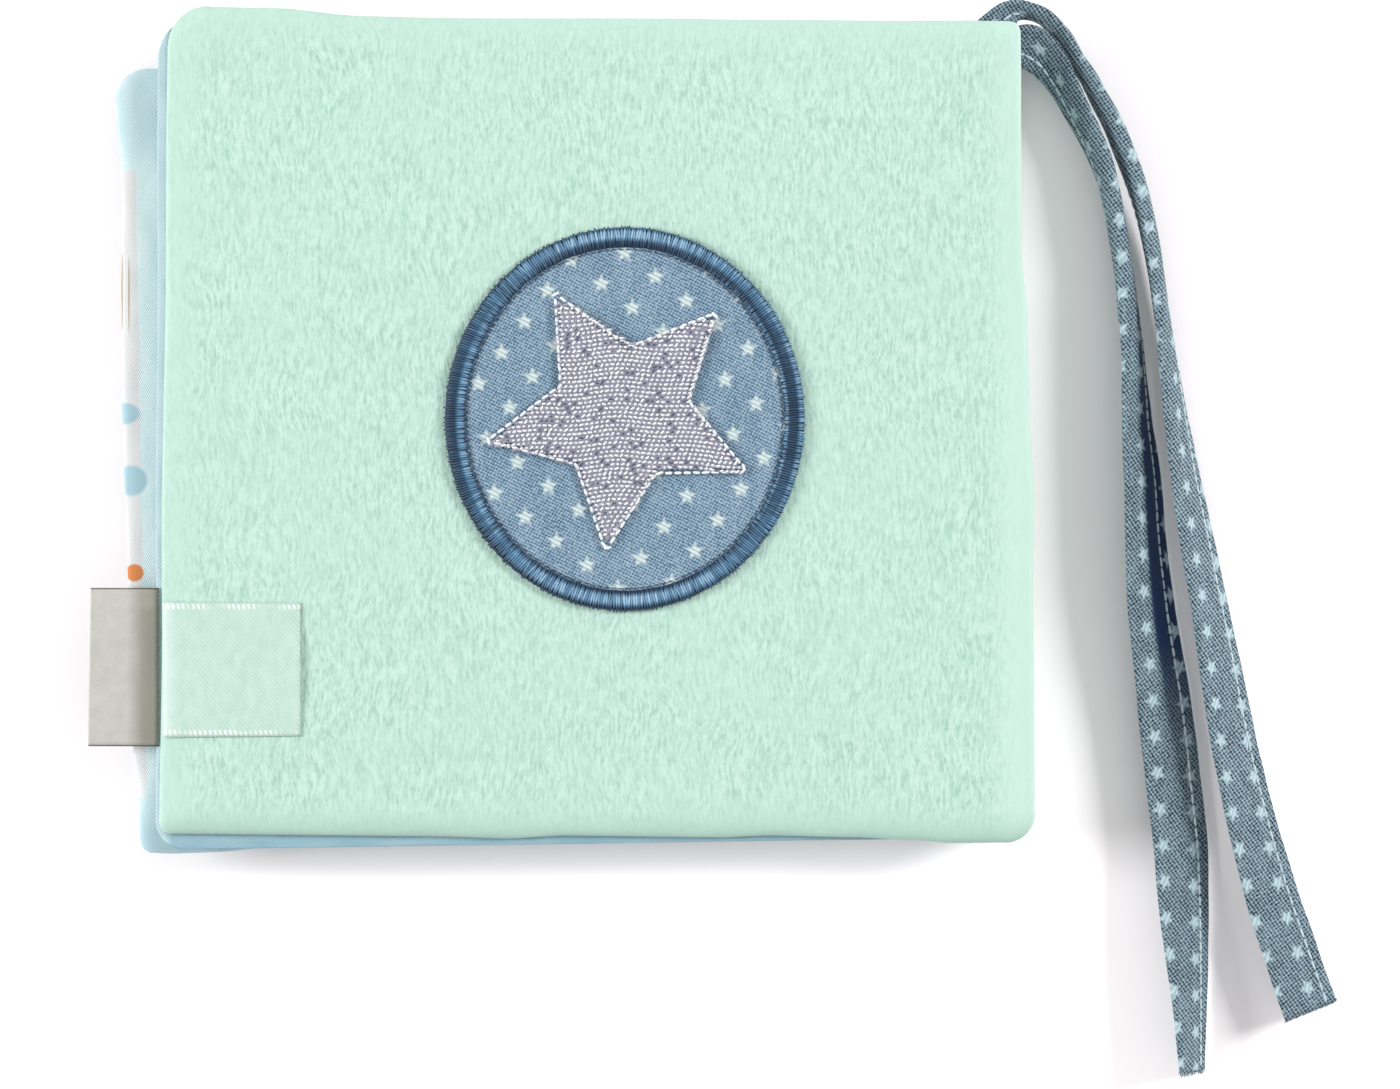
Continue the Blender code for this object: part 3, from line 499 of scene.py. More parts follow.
def build_sewing_tree():
    """Geometry Nodes: threads along a path. Also the keys of its inputs."""
    tree = bpy.data.node_groups.new("sewn_threads", "GeometryNodeTree")
    keys = {name: tree.interface.new_socket(
        name, in_out="INPUT", socket_type="NodeSocket" + kind).identifier
        for name, kind in SEWING_INPUTS.items()}
    tree.interface.new_socket("Geometry", in_out="OUTPUT", socket_type="NodeSocketGeometry")
    sockets = tree.nodes.new("NodeGroupInput").outputs
    given = {name: Value(sockets[name]) for name in keys}

    def shape_of(name):
        return wire(tree, "GeometryNodeObjectInfo", {"Object": given[name]}, "Geometry",
                    transform_space="ORIGINAL")

    def chance(low, high, seed):
        return wire(tree, "FunctionNodeRandomValue", {2: low, 3: high, "Seed": seed}, 1,
                    data_type="FLOAT")

    points = wire(tree, "GeometryNodeResampleCurve",
                  {"Curve": shape_of("Path"), "Length": given["Pitch"]}, mode="LENGTH")
    aim = wire(tree, "FunctionNodeAlignRotationToVector",
               {"Vector": wire(tree, "GeometryNodeInputTangent", {})}, axis="X")
    spread = given["Turn Spread"]
    turn = given["Turn From Path"] + chance(spread * -1.0, spread, given["Seed"])
    spin = wire(tree, "FunctionNodeEulerToRotation",
                {0: wire(tree, "ShaderNodeCombineXYZ", {2: turn})})
    facing = wire(tree, "FunctionNodeRotateRotation", {"Rotation": aim, "Rotate By": spin},
                  rotation_space="LOCAL")
    spread = given["Length Spread"]
    stretch = chance(spread * -1.0 + 1.0, spread + 1.0, given["Seed"] + 1.0)
    size = wire(tree, "ShaderNodeVectorMath", {
        0: given["Thread Size"],
        1: wire(tree, "ShaderNodeCombineXYZ", {0: stretch, 1: 1.0, 2: 1.0})},
        operation="MULTIPLY")
    threads = wire(tree, "GeometryNodeInstanceOnPoints", {
        "Points": points, "Instance": shape_of("Thread Shape"), "Rotation": facing,
        "Scale": size})
    toned = wire(tree, "GeometryNodeStoreNamedAttribute", {
        "Geometry": threads, "Name": "tone", "Value": chance(0.0, 1.0, given["Seed"] + 2.0)},
        data_type="FLOAT", domain="INSTANCE")
    finished = wire(tree, "GeometryNodeSetMaterial", {
        "Geometry": wire(tree, "GeometryNodeRealizeInstances", {0: toned}),
        "Material": given["Finish"]})
    fill(tree.nodes.new("NodeGroupOutput"), {0: finished})
    return tree, keys


sewing_tree, sewing_keys = build_sewing_tree()
print("sewing tree:", len(sewing_tree.nodes), "nodes")


# %% Shape of a thread
def thread_shape(name, stations, sides, arch):
    """A unit thread along x: its height follows an arch, its ends close to a point."""
    verts = []
    for step in range(stations + 1):
        turn = math.pi * step / stations
        inside = 0 < step < stations
        thick = math.sin(turn) ** 0.5 if inside else 0.12
        lift = arch * math.sin(turn) ** 0.6 if inside else 0
        for side in range(sides):
            spin = math.tau * (side + 0.5) / sides
            verts.append((-math.cos(turn) / 2, 0.5 * thick * math.cos(spin),
                          lift + 0.5 * thick * math.sin(spin) * (0.3 if arch else 1)))
    rings = [ring_of(step * sides, sides) for step in range(stations + 1)]
    mesh = bpy.data.meshes.new(name)
    mesh.from_pydata(verts, [], [*quads(rings), rings[0][:0:-1], rings[-1][1:]])
    mesh.shade_smooth()
    return bpy.data.objects.new(name, mesh)


# %% The call that sews
def sew(name, paths, shape, size, pitch, finish, seed, closed=False, length_spread=0.06,
        turn=0.0, turn_spread=0.05):
    """Threads along each path, as one plain mesh."""
    curve = bpy.data.curves.new(name + "_path", "CURVE")
    curve.dimensions = "3D"
    for points in paths:
        spline = curve.splines.new("POLY")
        spline.points.add(len(points) - 1)
        for target, point in zip(spline.points, points):
            target.co = (*(part * MM for part in point), 1)
        spline.use_cyclic_u = closed
    path = bpy.data.objects.new(name + "_path", curve)
    host = add_piece(name, [], [], finish)
    for helper in (path, shape):
        scene.collection.objects.link(helper)
    sewing = host.modifiers.new("Sewing", "NODES")
    sewing.node_group = sewing_tree
    for label, value in (("Path", path), ("Thread Shape", shape), ("Pitch", pitch * MM),
                         ("Thread Size", [side * MM for side in size]),
                         ("Length Spread", length_spread), ("Turn From Path", turn),
                         ("Turn Spread", turn_spread), ("Seed", seed), ("Finish", finish)):
        sewing[sewing_keys[label]] = value
    depsgraph = bpy.context.evaluated_depsgraph_get()
    mesh = bpy.data.meshes.new_from_object(host.evaluated_get(depsgraph))
    host.modifiers.remove(sewing)
    host.data = mesh
    bpy.data.objects.remove(path)
    scene.collection.objects.unlink(shape)
    print(name, triangles(host), "triangles")
    return host


# %% Finish of a thread
def thread_finish(name, dark, pale, roughness=0.55):
    """Twisted sewing thread, each stitch a little lighter or darker than the next."""
    thread = Finish(name, roughness)
    fuzz = thread.speckle(0.3, 1.0)
    share = thread.attribute("tone") * 0.55 + fuzz * 0.45
    return thread.paint(share.dye(dark, pale), fuzz, 0.04, Sheen_Weight=0.1)


straight_stitch = thread_shape("straight_stitch", 5, 6, 0)
tie_thread = thread_finish("tie_thread", (186, 214, 224), (228, 243, 247))

# %% Topstitching and frayed ends of the ties
END_SHARE = 0.9601


def tie_line(rows, face, inset):
    """A line just over one face of the tie, at a distance from its sewn edge."""
    return [keep_low(centre + across * (inset - half)
                     + outward * face * (tie_height(inset, 2 * half, thickness, 0) + 0.05))
            for centre, across, outward, half, run, thickness in rows]


tie_stitches, tie_frays = {}, {}
for label, rows in (("inner", inner_rows), ("outer", outer_rows)):
    lines = [tie_line(rows[:-2], face, STITCH_INSET) for face in (1, -1)]
    tie_stitches[label] = sew(label + "_tie_topstitching", lines, straight_stitch,
                              (1.95, 0.6, 0.56), 2.1, tie_thread, 11)
    centre, across, outward, half, run, thickness = rows[-1]
    ends = [[centre + across * (side * half * END_SHARE) + outward * lift for side in (-1, 1)]
            for lift in (-0.3, 0.0, 0.3)]
    tie_frays[label] = sew(label + "_tie_frayed_end", ends, straight_stitch,
                           (1.5, 0.13, 0.13), 0.32, tie_chambray, 23, False, 0.55,
                           math.pi / 2, 0.5)

# %% [markdown]
# ## Light, floor and background
#
# Soft daylight from all round gives a little under half of the light. Two large lamps
# give the rest in about equal parts: one to the right and a little towards the top of
# the book, one to the left. Where only one lamp is blocked the table still looks white.
# Between the book and the ties both are, and there the soft grey shadow falls.

# %% World, lamps and floor
DAYLIGHT = 0.68
# Name, place in metres, size in metres and power in watts
LAMPS = (("window_lamp", (1.95, 0.6, 1.28), 0.6, 46.0),
         ("fill_lamp", (-2.3, 0.15, 1.17), 0.9, 62.0))
HALF_FLOOR = 3000
FLOOR_DROP = 0.1

scene.view_settings.view_transform = "Standard"
scene.world = bpy.data.worlds.new("daylight")
scene.world.use_nodes = True
sky = scene.world.node_tree
daylight = fill(sky.nodes["Background"], {"Color": (1, 1, 1, 1), "Strength": DAYLIGHT})
backdrop = wire(sky, "ShaderNodeBackground", {"Color": (1, 1, 1, 1), "Strength": 1.0})
rays = sky.nodes.new("ShaderNodeLightPath").outputs
seen = Value(rays["Is Camera Ray"]).reckon("MAXIMUM", Value(rays["Is Glossy Ray"]).reckon(
    "MAXIMUM", rays["Is Transmission Ray"]))
fill(sky.nodes["World Output"], {"Surface": wire(
    sky, "ShaderNodeMixShader", {0: seen, 1: daylight.outputs[0], 2: backdrop})})

for name, place, size, power in LAMPS:
    lamp = bpy.data.objects.new(name, bpy.data.lights.new(name, "AREA"))
    scene.collection.objects.link(lamp)
    lamp.data.energy, lamp.data.size, lamp.location = power, size, place
    lamp.rotation_euler = (-Vector(place)).to_track_quat("-Z", "Y").to_euler()

table_finish = Finish("white_table", 0.9).paint((0.97, 0.93, 0.94, 1), Specular_IOR_Level=0.0)
floor = add_piece("floor", [(x * HALF_FLOOR, y * HALF_FLOOR, -FLOOR_DROP) for x, y in
                            ((-1, -1), (1, -1), (1, 1), (-1, 1))], [(0, 1, 2, 3)],
                  table_finish, False)
print("lamps:", len(LAMPS))

# %% [markdown]
# ## The sewn bags: covers and leaf
#
# Each cover is a bag: a plush side and a cotton side, sewn round the edge and filled.
# The cloth rises steeply from the seam, rolls over and runs on nearly flat. The edge
# isn't a drawn rectangle, it waves by a millimetre where the seam pulls. So a grid is
# laid over the outline in rings, from the seam to the middle, and each ring gets its
# inset and height. The plush also gets its nap as real relief.

# %% Outlines of the bags
HALF_WIDTH, HALF_HEIGHT = 80.25, 76.0
CORNER_SIGNS = ((-1, 1), (1, 1), (1, -1), (-1, -1))
FRONT_SEAM_Z, LEAF_SEAM_Z, BACK_SEAM_Z = 3.1, 8.6, 14.1
COVER_RISE, LEAF_RISE = 2.95, 1.95
COVER_ROLL, LEAF_ROLL = 8, 6
LINING_INSET, LEAF_INSET = 2.6, 1.9

# How far each edge stands out of its straight line: share along the edge, then mm
TOP_WAVE = ((-1, 0), (-0.75, 0), (-0.54, -1.2), (-0.4, -1.3), (0.25, -0.65), (0.6, -0.4),
            (1, 0))
BOTTOM_WAVE = ((-1, 0), (-0.35, 0), (-0.21, 0.25), (-0.06, -0.4), (0.28, -0.35),
               (0.4, -0.8), (0.6, -0.6), (0.73, -0.15), (0.81, 0.25), (1, 0))
SPINE_WAVE = ((-1, 0), (-0.86, 0.2), (-0.48, 0.45), (-0.12, 0.9), (0.06, 0.45),
              (0.3, 0.3), (0.42, -0.45), (0.7, -0.2), (0.93, 0), (1, 0))
FREE_WAVE = ((-1, 0), (-0.6, -0.15), (-0.2, 0.15), (0.3, -0.1), (0.7, 0.1), (1, 0))
LEAF_FREE_WAVE = ((-1, 0), (-0.85, 0.05), (-0.74, 0.85), (-0.3, 0.8), (-0.04, 0.85),
                  (0.17, 0.85), (0.41, 0.35), (0.66, -0.25), (0.79, -0.25), (0.87, 0.1),
                  (1, 0))
LEAF_BOTTOM_WAVE = ((-1, 0), (-0.92, 0.4), (-0.82, 0.35), (-0.7, -0.3), (-0.5, -0.45),
                    (-0.35, -0.8), (0, -0.6), (1, 0))
LEVEL = ((-1, 0), (1, 0))


# %% Points on an outline
def wave_at(table, share):
    """The table's value at a share, on a soft line through its points."""
    for (start, low), (end, high) in zip(table, table[1:]):
        if share <= end:
            return low + (high - low) * smoothstep(start, end, share)
    return table[-1][1]


def corners_from(*shares):
    """Corner points from their shares of the half sizes."""
    return [Vector((x * HALF_WIDTH, y * HALF_HEIGHT)) for x, y in shares]


def moved_spine(corners, inset, guide):
    """The same corners with the spine edge moved in from the guide's spine edge."""
    top, bottom = guide[1], guide[2]
    moved = [corner.copy() for corner in corners]
    for corner in moved[1:3]:
        share = (corner.y - top.y) / (bottom.y - top.y)
        corner.x = top.x + (bottom.x - top.x) * share - inset
    return moved


def edge_point(outline, u, v):
    """Outline point in the direction (u, v) of the unit square, corners rounded."""
    corners, radii, (free_wave, spine_wave, top_wave, bottom_wave) = outline
    upright = abs(u) >= abs(v)
    sx, sy = math.copysign(1, u), math.copysign(1, v)
    index = CORNER_SIGNS.index((sx, sy))
    radius = radii[index]
    distance = (1 - min(abs(u), abs(v))) * (HALF_HEIGHT if upright else HALF_WIDTH)
    if distance < radius:
        angle = math.pi / 4 * (1 - distance / radius)
        reach = (math.cos(angle), math.sin(angle))[::1 if upright else -1]
        point = corners[index] - Vector((sx * (1 - reach[0]), sy * (1 - reach[1]))) * radius
    else:
        point = sum((corner * ((1 + x * u) * (1 + y * v) / 4)
                     for (x, y), corner in zip(CORNER_SIGNS, corners)), Vector((0, 0)))
    if upright:
        point.x += sx * wave_at(spine_wave if u > 0 else free_wave, v)
    else:
        point.y += sy * wave_at(top_wave if v > 0 else bottom_wave, u)
    return point


# %% The five outlines
back_corners = corners_from((-0.981, 1.017), (0.977, 0.980), (1.009, -1.012), (-1.002, -0.991))
front_corners = corners_from((-0.970, 0.966), (0.972, 0.961), (1.007, -0.990), (-1.016, -0.980))
lining_corners = corners_from((-1.004, 0.990), (0.977, 0.970), (1.009, -1.000), (-1.010, -1.030))
leaf_corners = corners_from((-1.105, 0.869), (0.972, 0.864), (1.007, -0.971), (-1.048, -1.039))
BAG_RADII = (7.4, 2.0, 5.2, 2.2)
BACK = (back_corners, BAG_RADII, (FREE_WAVE, SPINE_WAVE, TOP_WAVE, BOTTOM_WAVE))
FRONT = (front_corners, BAG_RADII, (FREE_WAVE, SPINE_WAVE, LEVEL, LEVEL))
BACK_LINING = (moved_spine(lining_corners, LINING_INSET, back_corners), (7.4, 2.0, 5.2, 5.5),
               (FREE_WAVE, LEVEL, LEVEL, LEVEL))
FRONT_LINING = (moved_spine(front_corners, LINING_INSET, front_corners), BAG_RADII,
                (FREE_WAVE, LEVEL, LEVEL, LEVEL))
LEAF = (moved_spine(leaf_corners, LEAF_INSET, front_corners), (6.0, 2.0, 2.0, 2.2),
        (LEAF_FREE_WAVE, LEVEL, LEVEL, LEAF_BOTTOM_WAVE))
print("outlines: back, front, two linings and the leaf")

# %% The grid of a bag
LIP = 0.8
ROLL_POWER = 3.2
WRAP_RINGS = 4
FIRST_RISE = 0.06
SPINE_REACH, SPINE_REACH_AT_TIES = 5.46, 3.9
TIES_FROM, TIES_TO = 0.79, 0.85


def wrap_reach(outline, u, v):
    """How far the plush wraps round the spine in this direction: less beside the ties."""
    if u < abs(v):
        return 0.0
    share = min((1 - abs(v)) * HALF_HEIGHT / outline[1][1 if v > 0 else 2], 1)
    narrow = smoothstep(TIES_FROM, TIES_TO, v)
    return share * (SPINE_REACH + (SPINE_REACH_AT_TIES - SPINE_REACH) * narrow)


def unit_grid(cells):
    """Places (u, v) from -1 to 1 each way, row by row."""
    steps = [2 * step / cells - 1 for step in range(cells + 1)]
    return [(u, v) for v in steps for u in steps]


def bag_grid(outline, cells, rise, roll, crown, wrap, lip):
    """Points of one side of a bag: (x, y, height over the seam, ring scale), row by row."""
    centre = sum(outline[0], Vector((0, 0))) / 4
    rings = cells // 2
    rim_rings = WRAP_RINGS + max(round(rings * 0.1), 5)
    table = []
    for ring in range(rings + 1):
        if ring <= WRAP_RINGS:
            share = ring / WRAP_RINGS
            table.append((lip * (1 - share) ** 2, FIRST_RISE * rise * share, 1.0))
        elif ring <= rim_rings:
            turn = math.pi / 2 * (ring - WRAP_RINGS) / (rim_rings - WRAP_RINGS)
            table.append((roll * (1 - math.cos(turn) ** (2 / ROLL_POWER)),
                          rise * max(FIRST_RISE, math.sin(turn) ** (2 / ROLL_POWER)), 1.0))
        else:
            table.append((roll, rise, 1 - (ring - rim_rings) / (rings - rim_rings)))
    points, edges = [], {}
    for index, (u, v) in enumerate(unit_grid(cells)):
        row, column = divmod(index, cells + 1)
        ring = min(column, cells - column, row, cells - row)
        inset, height, share = table[ring]
        reach = max(abs(u), abs(v))
        if not reach:
            points.append((centre.x, centre.y, height + crown, 0.0))
            continue
        key = (round(u / reach, 6), round(v / reach, 6))
        if key not in edges:
            edges[key] = (edge_point(outline, *key), wrap_reach(outline, *key) if wrap else 0)
        edge, spine_drop = edges[key]
        if spine_drop and ring < WRAP_RINGS:
            inset *= 1 - min(spine_drop / SPINE_REACH_AT_TIES, 1)
            height -= spine_drop * (1 - ring / WRAP_RINGS)
        scale = (1 - inset / HALF_WIDTH) * share
        place = centre + (edge - centre) * scale
        points.append((place.x, place.y, height + crown * (1 - scale ** 5), scale))
    return points


# %% [markdown]
# ## How the filling swells the cloth
#
# A short cloth simulation gives the swelling. A coarse closed bag of each outline is
# held at its seam, and the back cover's bag also under the embroidered disc and the
# satin label, which are sewn down. It is blown up for 20 steps without gravity. How
# far its cloth rises is kept on a grid and the bag is taken away. The fine cloth
# sides then take the rise over, each within the room its neighbours leave.

# %% Simulate the swelling
PUFF_CELLS, PUFF_STEPS = 36, 20
PUFF_PRESSURE, PUFF_SOFTNESS = 4.0, 0.35
SEWN_DISC = (5.5, 1.1, 38)
SEWN_LABEL = (-50, -66, -31)


def sewn_down(x, y):
    """True under the disc and under the satin label of the back cover."""
    centre_x, centre_y, reach = SEWN_DISC
    right, low, high = SEWN_LABEL
    return math.hypot(x - centre_x, y - centre_y) < reach or (x < right and low < y < high)


def fill_bag(outline, rise, held=None):
    """How far each point of a bag's cloth rises, row by row, from a cloth simulation."""
    centre = sum(outline[0], Vector((0, 0))) / 4
    verts, faces, layers = [], [], []
    for side in (1, -1):
        ids = []
        for index, (u, v) in enumerate(unit_grid(PUFF_CELLS)):
            reach = max(abs(u), abs(v))
            if side < 0 and reach > 0.999:
                ids.append(layers[0][index])
                continue
            ids.append(len(verts))
            place = centre
            if reach:
                place = centre + (edge_point(outline, u / reach, v / reach) - centre) * reach
            verts.append((place.x, place.y, side * rise * (1 - reach ** 8)))
        layers.append(ids)
        faces += [face[::side] for face in quads(in_rows(ids, PUFF_CELLS + 1))]
    bag = add_piece("filled_bag", verts, faces)
    bag.vertex_groups.new(name="held").add(
        [index for index, (x, y, z) in enumerate(verts)
         if abs(z) < 0.001 or (held and held(x, y))], 1.0, "REPLACE")
    cloth = bag.modifiers.new("filling", "CLOTH")
    for key, value in (("quality", 5), ("tension_stiffness", 40), ("compression_stiffness", 40),
                       ("shear_stiffness", 20), ("bending_stiffness", 2),
                       ("vertex_group_mass", "held"), ("use_pressure", True),
                       ("uniform_pressure_force", PUFF_PRESSURE)):
        setattr(cloth.settings, key, value)
    cloth.settings.effector_weights.gravity = 0
    cloth.collision_settings.use_collision = False
    cloth.point_cache.frame_start, cloth.point_cache.frame_end = 1, PUFF_STEPS
    for step in range(1, PUFF_STEPS + 1):
        scene.frame_set(step)
    swollen = bag.evaluated_get(bpy.context.evaluated_depsgraph_get()).data.vertices
    rises = [max(swollen[index].co.z / MM - verts[index][2], 0) for index in layers[0]]
    mesh = bag.data
    bpy.data.objects.remove(bag)
    bpy.data.meshes.remove(mesh)
    scene.frame_set(1)
    print("largest rise of the filled cloth:", round(max(rises), 2), "mm")
    return in_rows(rises, PUFF_CELLS + 1)


# %% Read the swelling back
def bend_shares(part):
    """Shares of four neighbours in a smooth curve, at a part of the way along."""
    return ((1 - part) ** 3 / 6, (3 * part ** 3 - 6 * part ** 2 + 4) / 6,
            (1 + 3 * part + 3 * part ** 2 - 3 * part ** 3) / 6, part ** 3 / 6)


def swelling(rises, u, v, room):
    """The simulated rise at a place from -1 to 1 each way, kept within the room."""
    across, along = ((place + 1) / 2 * PUFF_CELLS for place in (u, v))
    column, row = (min(int(place), PUFF_CELLS - 1) for place in (across, along))
    total = 0.0
    for down, share in enumerate(bend_shares(along - row)):
        line = rises[min(max(row + down - 1, 0), PUFF_CELLS)]
        for right, part in enumerate(bend_shares(across - column)):
            total += share * part * line[min(max(column + right - 1, 0), PUFF_CELLS)]
    return room * math.tanh(total / PUFF_SOFTNESS)


front_rises = fill_bag(FRONT, COVER_RISE)
leaf_rises = fill_bag(LEAF, LEAF_RISE)
back_rises = fill_bag(BACK, COVER_RISE, sewn_down)

# %% Build one side of a bag
INNER_STEP = 5


def border(lines):
    """The edge of a grid of vertex numbers, its first one again at the end."""
    return (lines[0][:-1] + [line[-1] for line in lines[:-1]] + lines[-1][:0:-1]
            + [line[0] for line in lines[::-1]])


def build_bag(name, outline, seam_z, side, rise, roll, wall, cells, finish, relief, rises,
              crown=0.0, wrap=False, lip=LIP, room=0.05):
    """One side of a bag as a closed wall: a fine outer face and a coarse inner one."""
    outer = bag_grid(outline, cells, rise, roll, crown, wrap, lip)
    verts = []
    for (x, y, height, scale), (u, v) in zip(outer, unit_grid(cells)):
        lift = relief(x, y, scale)
        if rises:
            part = scale / max(abs(u), abs(v), 1e-9)
            lift += swelling(rises, u * part, v * part, room)
        verts.append((x, y, seam_z + side * (height + lift)))
    pull = 1 - wall / HALF_WIDTH
    inner = [place for line in in_rows(outer, cells + 1)[::INNER_STEP]
             for place in line[::INNER_STEP]]
    verts += [(x * pull, y * pull, seam_z + side * (height - wall * min(
        1, max(height, 0) / (rise * 0.5)))) for x, y, height, scale in inner]
    outer_ids = in_rows(list(range(len(outer))), cells + 1)
    inner_ids = in_rows(list(range(len(outer), len(verts))), cells // INNER_STEP + 1)
    faces = quads(outer_ids) + turned(quads(inner_ids))
    rim, core = border(outer_ids), border(inner_ids)
    for index, pair in enumerate(zip(core, core[1:])):
        faces.append((*pair, *rim[index * INNER_STEP:(index + 1) * INNER_STEP + 1][::-1]))
    piece = add_piece(name, verts, [face[::side] for face in faces], finish)
    attribute = piece.data.attributes.new("rim", "FLOAT", "POINT")
    for target, (_, _, _, scale) in zip(attribute.data, outer):
        target.value = scale
    print(name, triangles(piece), "triangles")
    return piece


def rim_share(scale, end):
    """1 beside the seam, 0 at the seam itself and from the roll inwards."""
    return smoothstep(0.88, end, scale) * (1 - smoothstep(0.985, 1.0, scale))


# %% [markdown]
# ## Plush
#
# The plush is a short, soft nap that has been stroked upright and down again, so it
# shows faint streaks, a millimetre wide and a few long, that sway from patch to
# patch. The larger ones are real relief; the finer ones are in the finish. The right
# rim is painted lighter as painted light, the bottom rim darker as painted shade.

# %% Plush finish and its relief
def plush(name, deep, base, bright):
    """Short nap with swaying streaks, a painted highlight on the right rim and painted shade on the
    bottom rim.
    """
    cloth = Finish(name, 0.93)

    def vectors(first, second, operation):
        return wire(cloth.tree, "ShaderNodeVectorMath", {0: first, 1: second},
                    operation=operation)

    sway = wire(cloth.tree, "ShaderNodeTexNoise",
                {"Vector": cloth.place, "Scale": 60.0, "Detail": 1.0}, "Color")
    shift = vectors(vectors(sway, (0.5, 0.5, 0.5), "SUBTRACT"), (5 * MM, 2 * MM, 0), "MULTIPLY")
    bent = vectors(cloth.place, shift, "ADD")
    share = (cloth.speckle(0.64, 2.0, (1, 0.25, 1), bent) * 0.6
             + cloth.speckle(0.36, 2.0, (1, 0.34, 1), bent) * 0.4)
    strength = (cloth.speckle(15).spread(0.35, 0.65, 0.8, 1.4)
                * cloth.attribute("rim").spread(0.9, 0.97, 1.0, 0.35))
    share = strength * (share - 0.5) + 0.5
    colour = share.spread(0.33, 0.5).dye(deep, base)
    colour = share.spread(0.5, 0.64).dye(colour, bright)
    # Painted highlight: the right rim, rolling towards the window lamp, is painted lighter
    painted_rim_light = cloth.x.spread(72, 79, 0.0, 0.6)
    colour = painted_rim_light.dye(colour, (218, 248, 237))
    # Painted shade: the bottom rim is painted darker
    colour = cloth.y.spread(-76, -71, 0.55, 0.0).dye(colour, deep)
    return cloth.paint(colour, share, 0.2, Sheen_Weight=0.12, Sheen_Roughness=0.6,
                       Specular_IOR_Level=0.1)


def nap(x, y, scale):
    """Height of the plush's own relief and of its soft unevenness."""
    sway = 2.75 * bumps(x, y, 17, 17, 4.0)
    return (0.05 * bumps(x + sway, y, 1.1, 3.8, 1.0) + 0.16 * bumps(x, y, 22, 26, 9.0)
            + 0.32 * rim_share(scale, 0.93) * bumps(x, y, 7.5, 7.5, 6.0))


def nap_below(x, y, scale):
    """The same under the front cover, kept above the table."""
    return nap(x, y, scale) * 0.8 - 0.14


mint_plush = plush("mint_plush_nap", (174, 212, 196), (196, 230, 216), (208, 240, 227))

# %% Plush sides of both covers
PLUSH_WALL = 1.2
PLUSH_CROWN = 0.85
back_plush = build_bag("back_cover_plush_cloth", BACK, BACK_SEAM_Z, 1, COVER_RISE, COVER_ROLL,
                       PLUSH_WALL, 290, mint_plush, nap, back_rises, PLUSH_CROWN, True,
                       room=0.4)
front_plush = build_bag("front_cover_plush_cloth", FRONT, FRONT_SEAM_Z, -1, COVER_RISE,
                        COVER_ROLL, PLUSH_WALL, 180, mint_plush, nap_below, front_rises,
                        wrap=True)

# %% [markdown]
# ## Cotton linings and the printed leaf
#
# The linings are plain pale blue cotton; the back one rolls a little past the plush
# at the free edge. The leaf is printed cotton. Only a strip of its print shows: a
# white field beside sky blue. A plain pattern of soft clouds, leaf sprigs and warm
# dots in the same colours stands in for it and goes on over the hidden part.

# %% Plain cotton
def plain_weave(cloth, pitch):
    """Plain weave: two crossing waves."""
    return (twill(cloth.x, cloth.y, pitch, 0.35)
            * twill(cloth.x, cloth.y, pitch * 0.9, 1.9))


def plain_cotton(name, deep, pale):
    """Pale cotton with a fine weave and slightly uneven yarns, paler at the free edge, partly as
    painted light.
    """
    cloth = Finish(name, 0.85)
    cross = plain_weave(cloth, 0.55)
    colour = (cloth.uneven(3, (0.3, 1, 1), 0.25, 0.75) + cross * 0.22).dye(deep, pale)
    # Paler at the free edge: partly its own paler tint where it rolls out, partly painted light
    # against the back cover's shade
    pale_and_painted_light_edge = cloth.x.spread(-79.5, -78.0, 0.8, 0.0)
    return cloth.paint(pale_and_painted_light_edge.dye(colour, (228, 252, 258)), cross, 0.05)


# %% Printed cotton
# Plain shapes of the print: centre and radii, then colour
PRINT_SHAPES = (
    ((-87.4, 2.2), (3.2, 2.0), (186, 224, 236)), ((-85.8, -10.2), (3.0, 2.8), (186, 224, 236)),
    ((-87.5, 24.8), (0.16, 7.2), (200, 178, 158)), ((-86.2, 24.2), (0.16, 6.8), (206, 188, 170)),
    ((-85.2, -27.2), (1.7, 1.6), (240, 152, 90)), ((-91.0, 57.0), (2.2, 9.0), (247, 249, 249)),
)


def printed_cotton(name):
    """Sky blue cotton with a white field along the free edge and plain shapes in it; the strip in
    the cover's shade is painted paler as painted light.
    """
    cloth = Finish(name, 0.84)
    x, y = cloth.x, cloth.y
    cross = plain_weave(cloth, 0.5)
    slub = cloth.uneven(2.6, (1, 0.3, 1))
    blue = slub.dye((200, 230, 236), (218, 240, 245))
    blue = cloth.speckle(14).spread(0.55, 0.6, 0.0, 0.5).dye(blue, (226, 240, 246))
    # Painted light: the upper side beside the free edge lies in the back cover's shade, so it is
    # painted paler
    painted_light_strip = x.spread(-78, -75, 1.0, 0.0) * cloth.z.spread(8, 9)
    blue = painted_light_strip.dye(blue, slub.dye((229, 259, 261), (249, 267, 268)))
    ends = y.spread(-75, -66, 0.85, 0.0) + y.spread(46, 54, 0.0, 0.5)
    blue = ends.dye(blue, (192, 226, 236))
    field_edge = x + cloth.uneven(9, (1, 1, 1), -0.2, 0.2) + y * 0.018
    inside = (field_edge.spread(-84.3, -84.0, 1.0, 0.0) * y.spread(-68.8, -68.2)
              * y.spread(46.8, 47.4, 1.0, 0.0))
    colour = inside.dye(blue, (247, 249, 249))
    for (centre_x, centre_y), (radius_x, radius_y), shade in PRINT_SHAPES:
        out = length_of((x - centre_x) / radius_x, (y - centre_y) / radius_y)
        colour = out.spread(0.88, 1.12, 1.0, 0.0).dye(colour, shade)
    return cloth.paint(cross.spread(-1, 1, 0.94, 1.0).dye((0, 0, 0), colour), cross, 0.05)


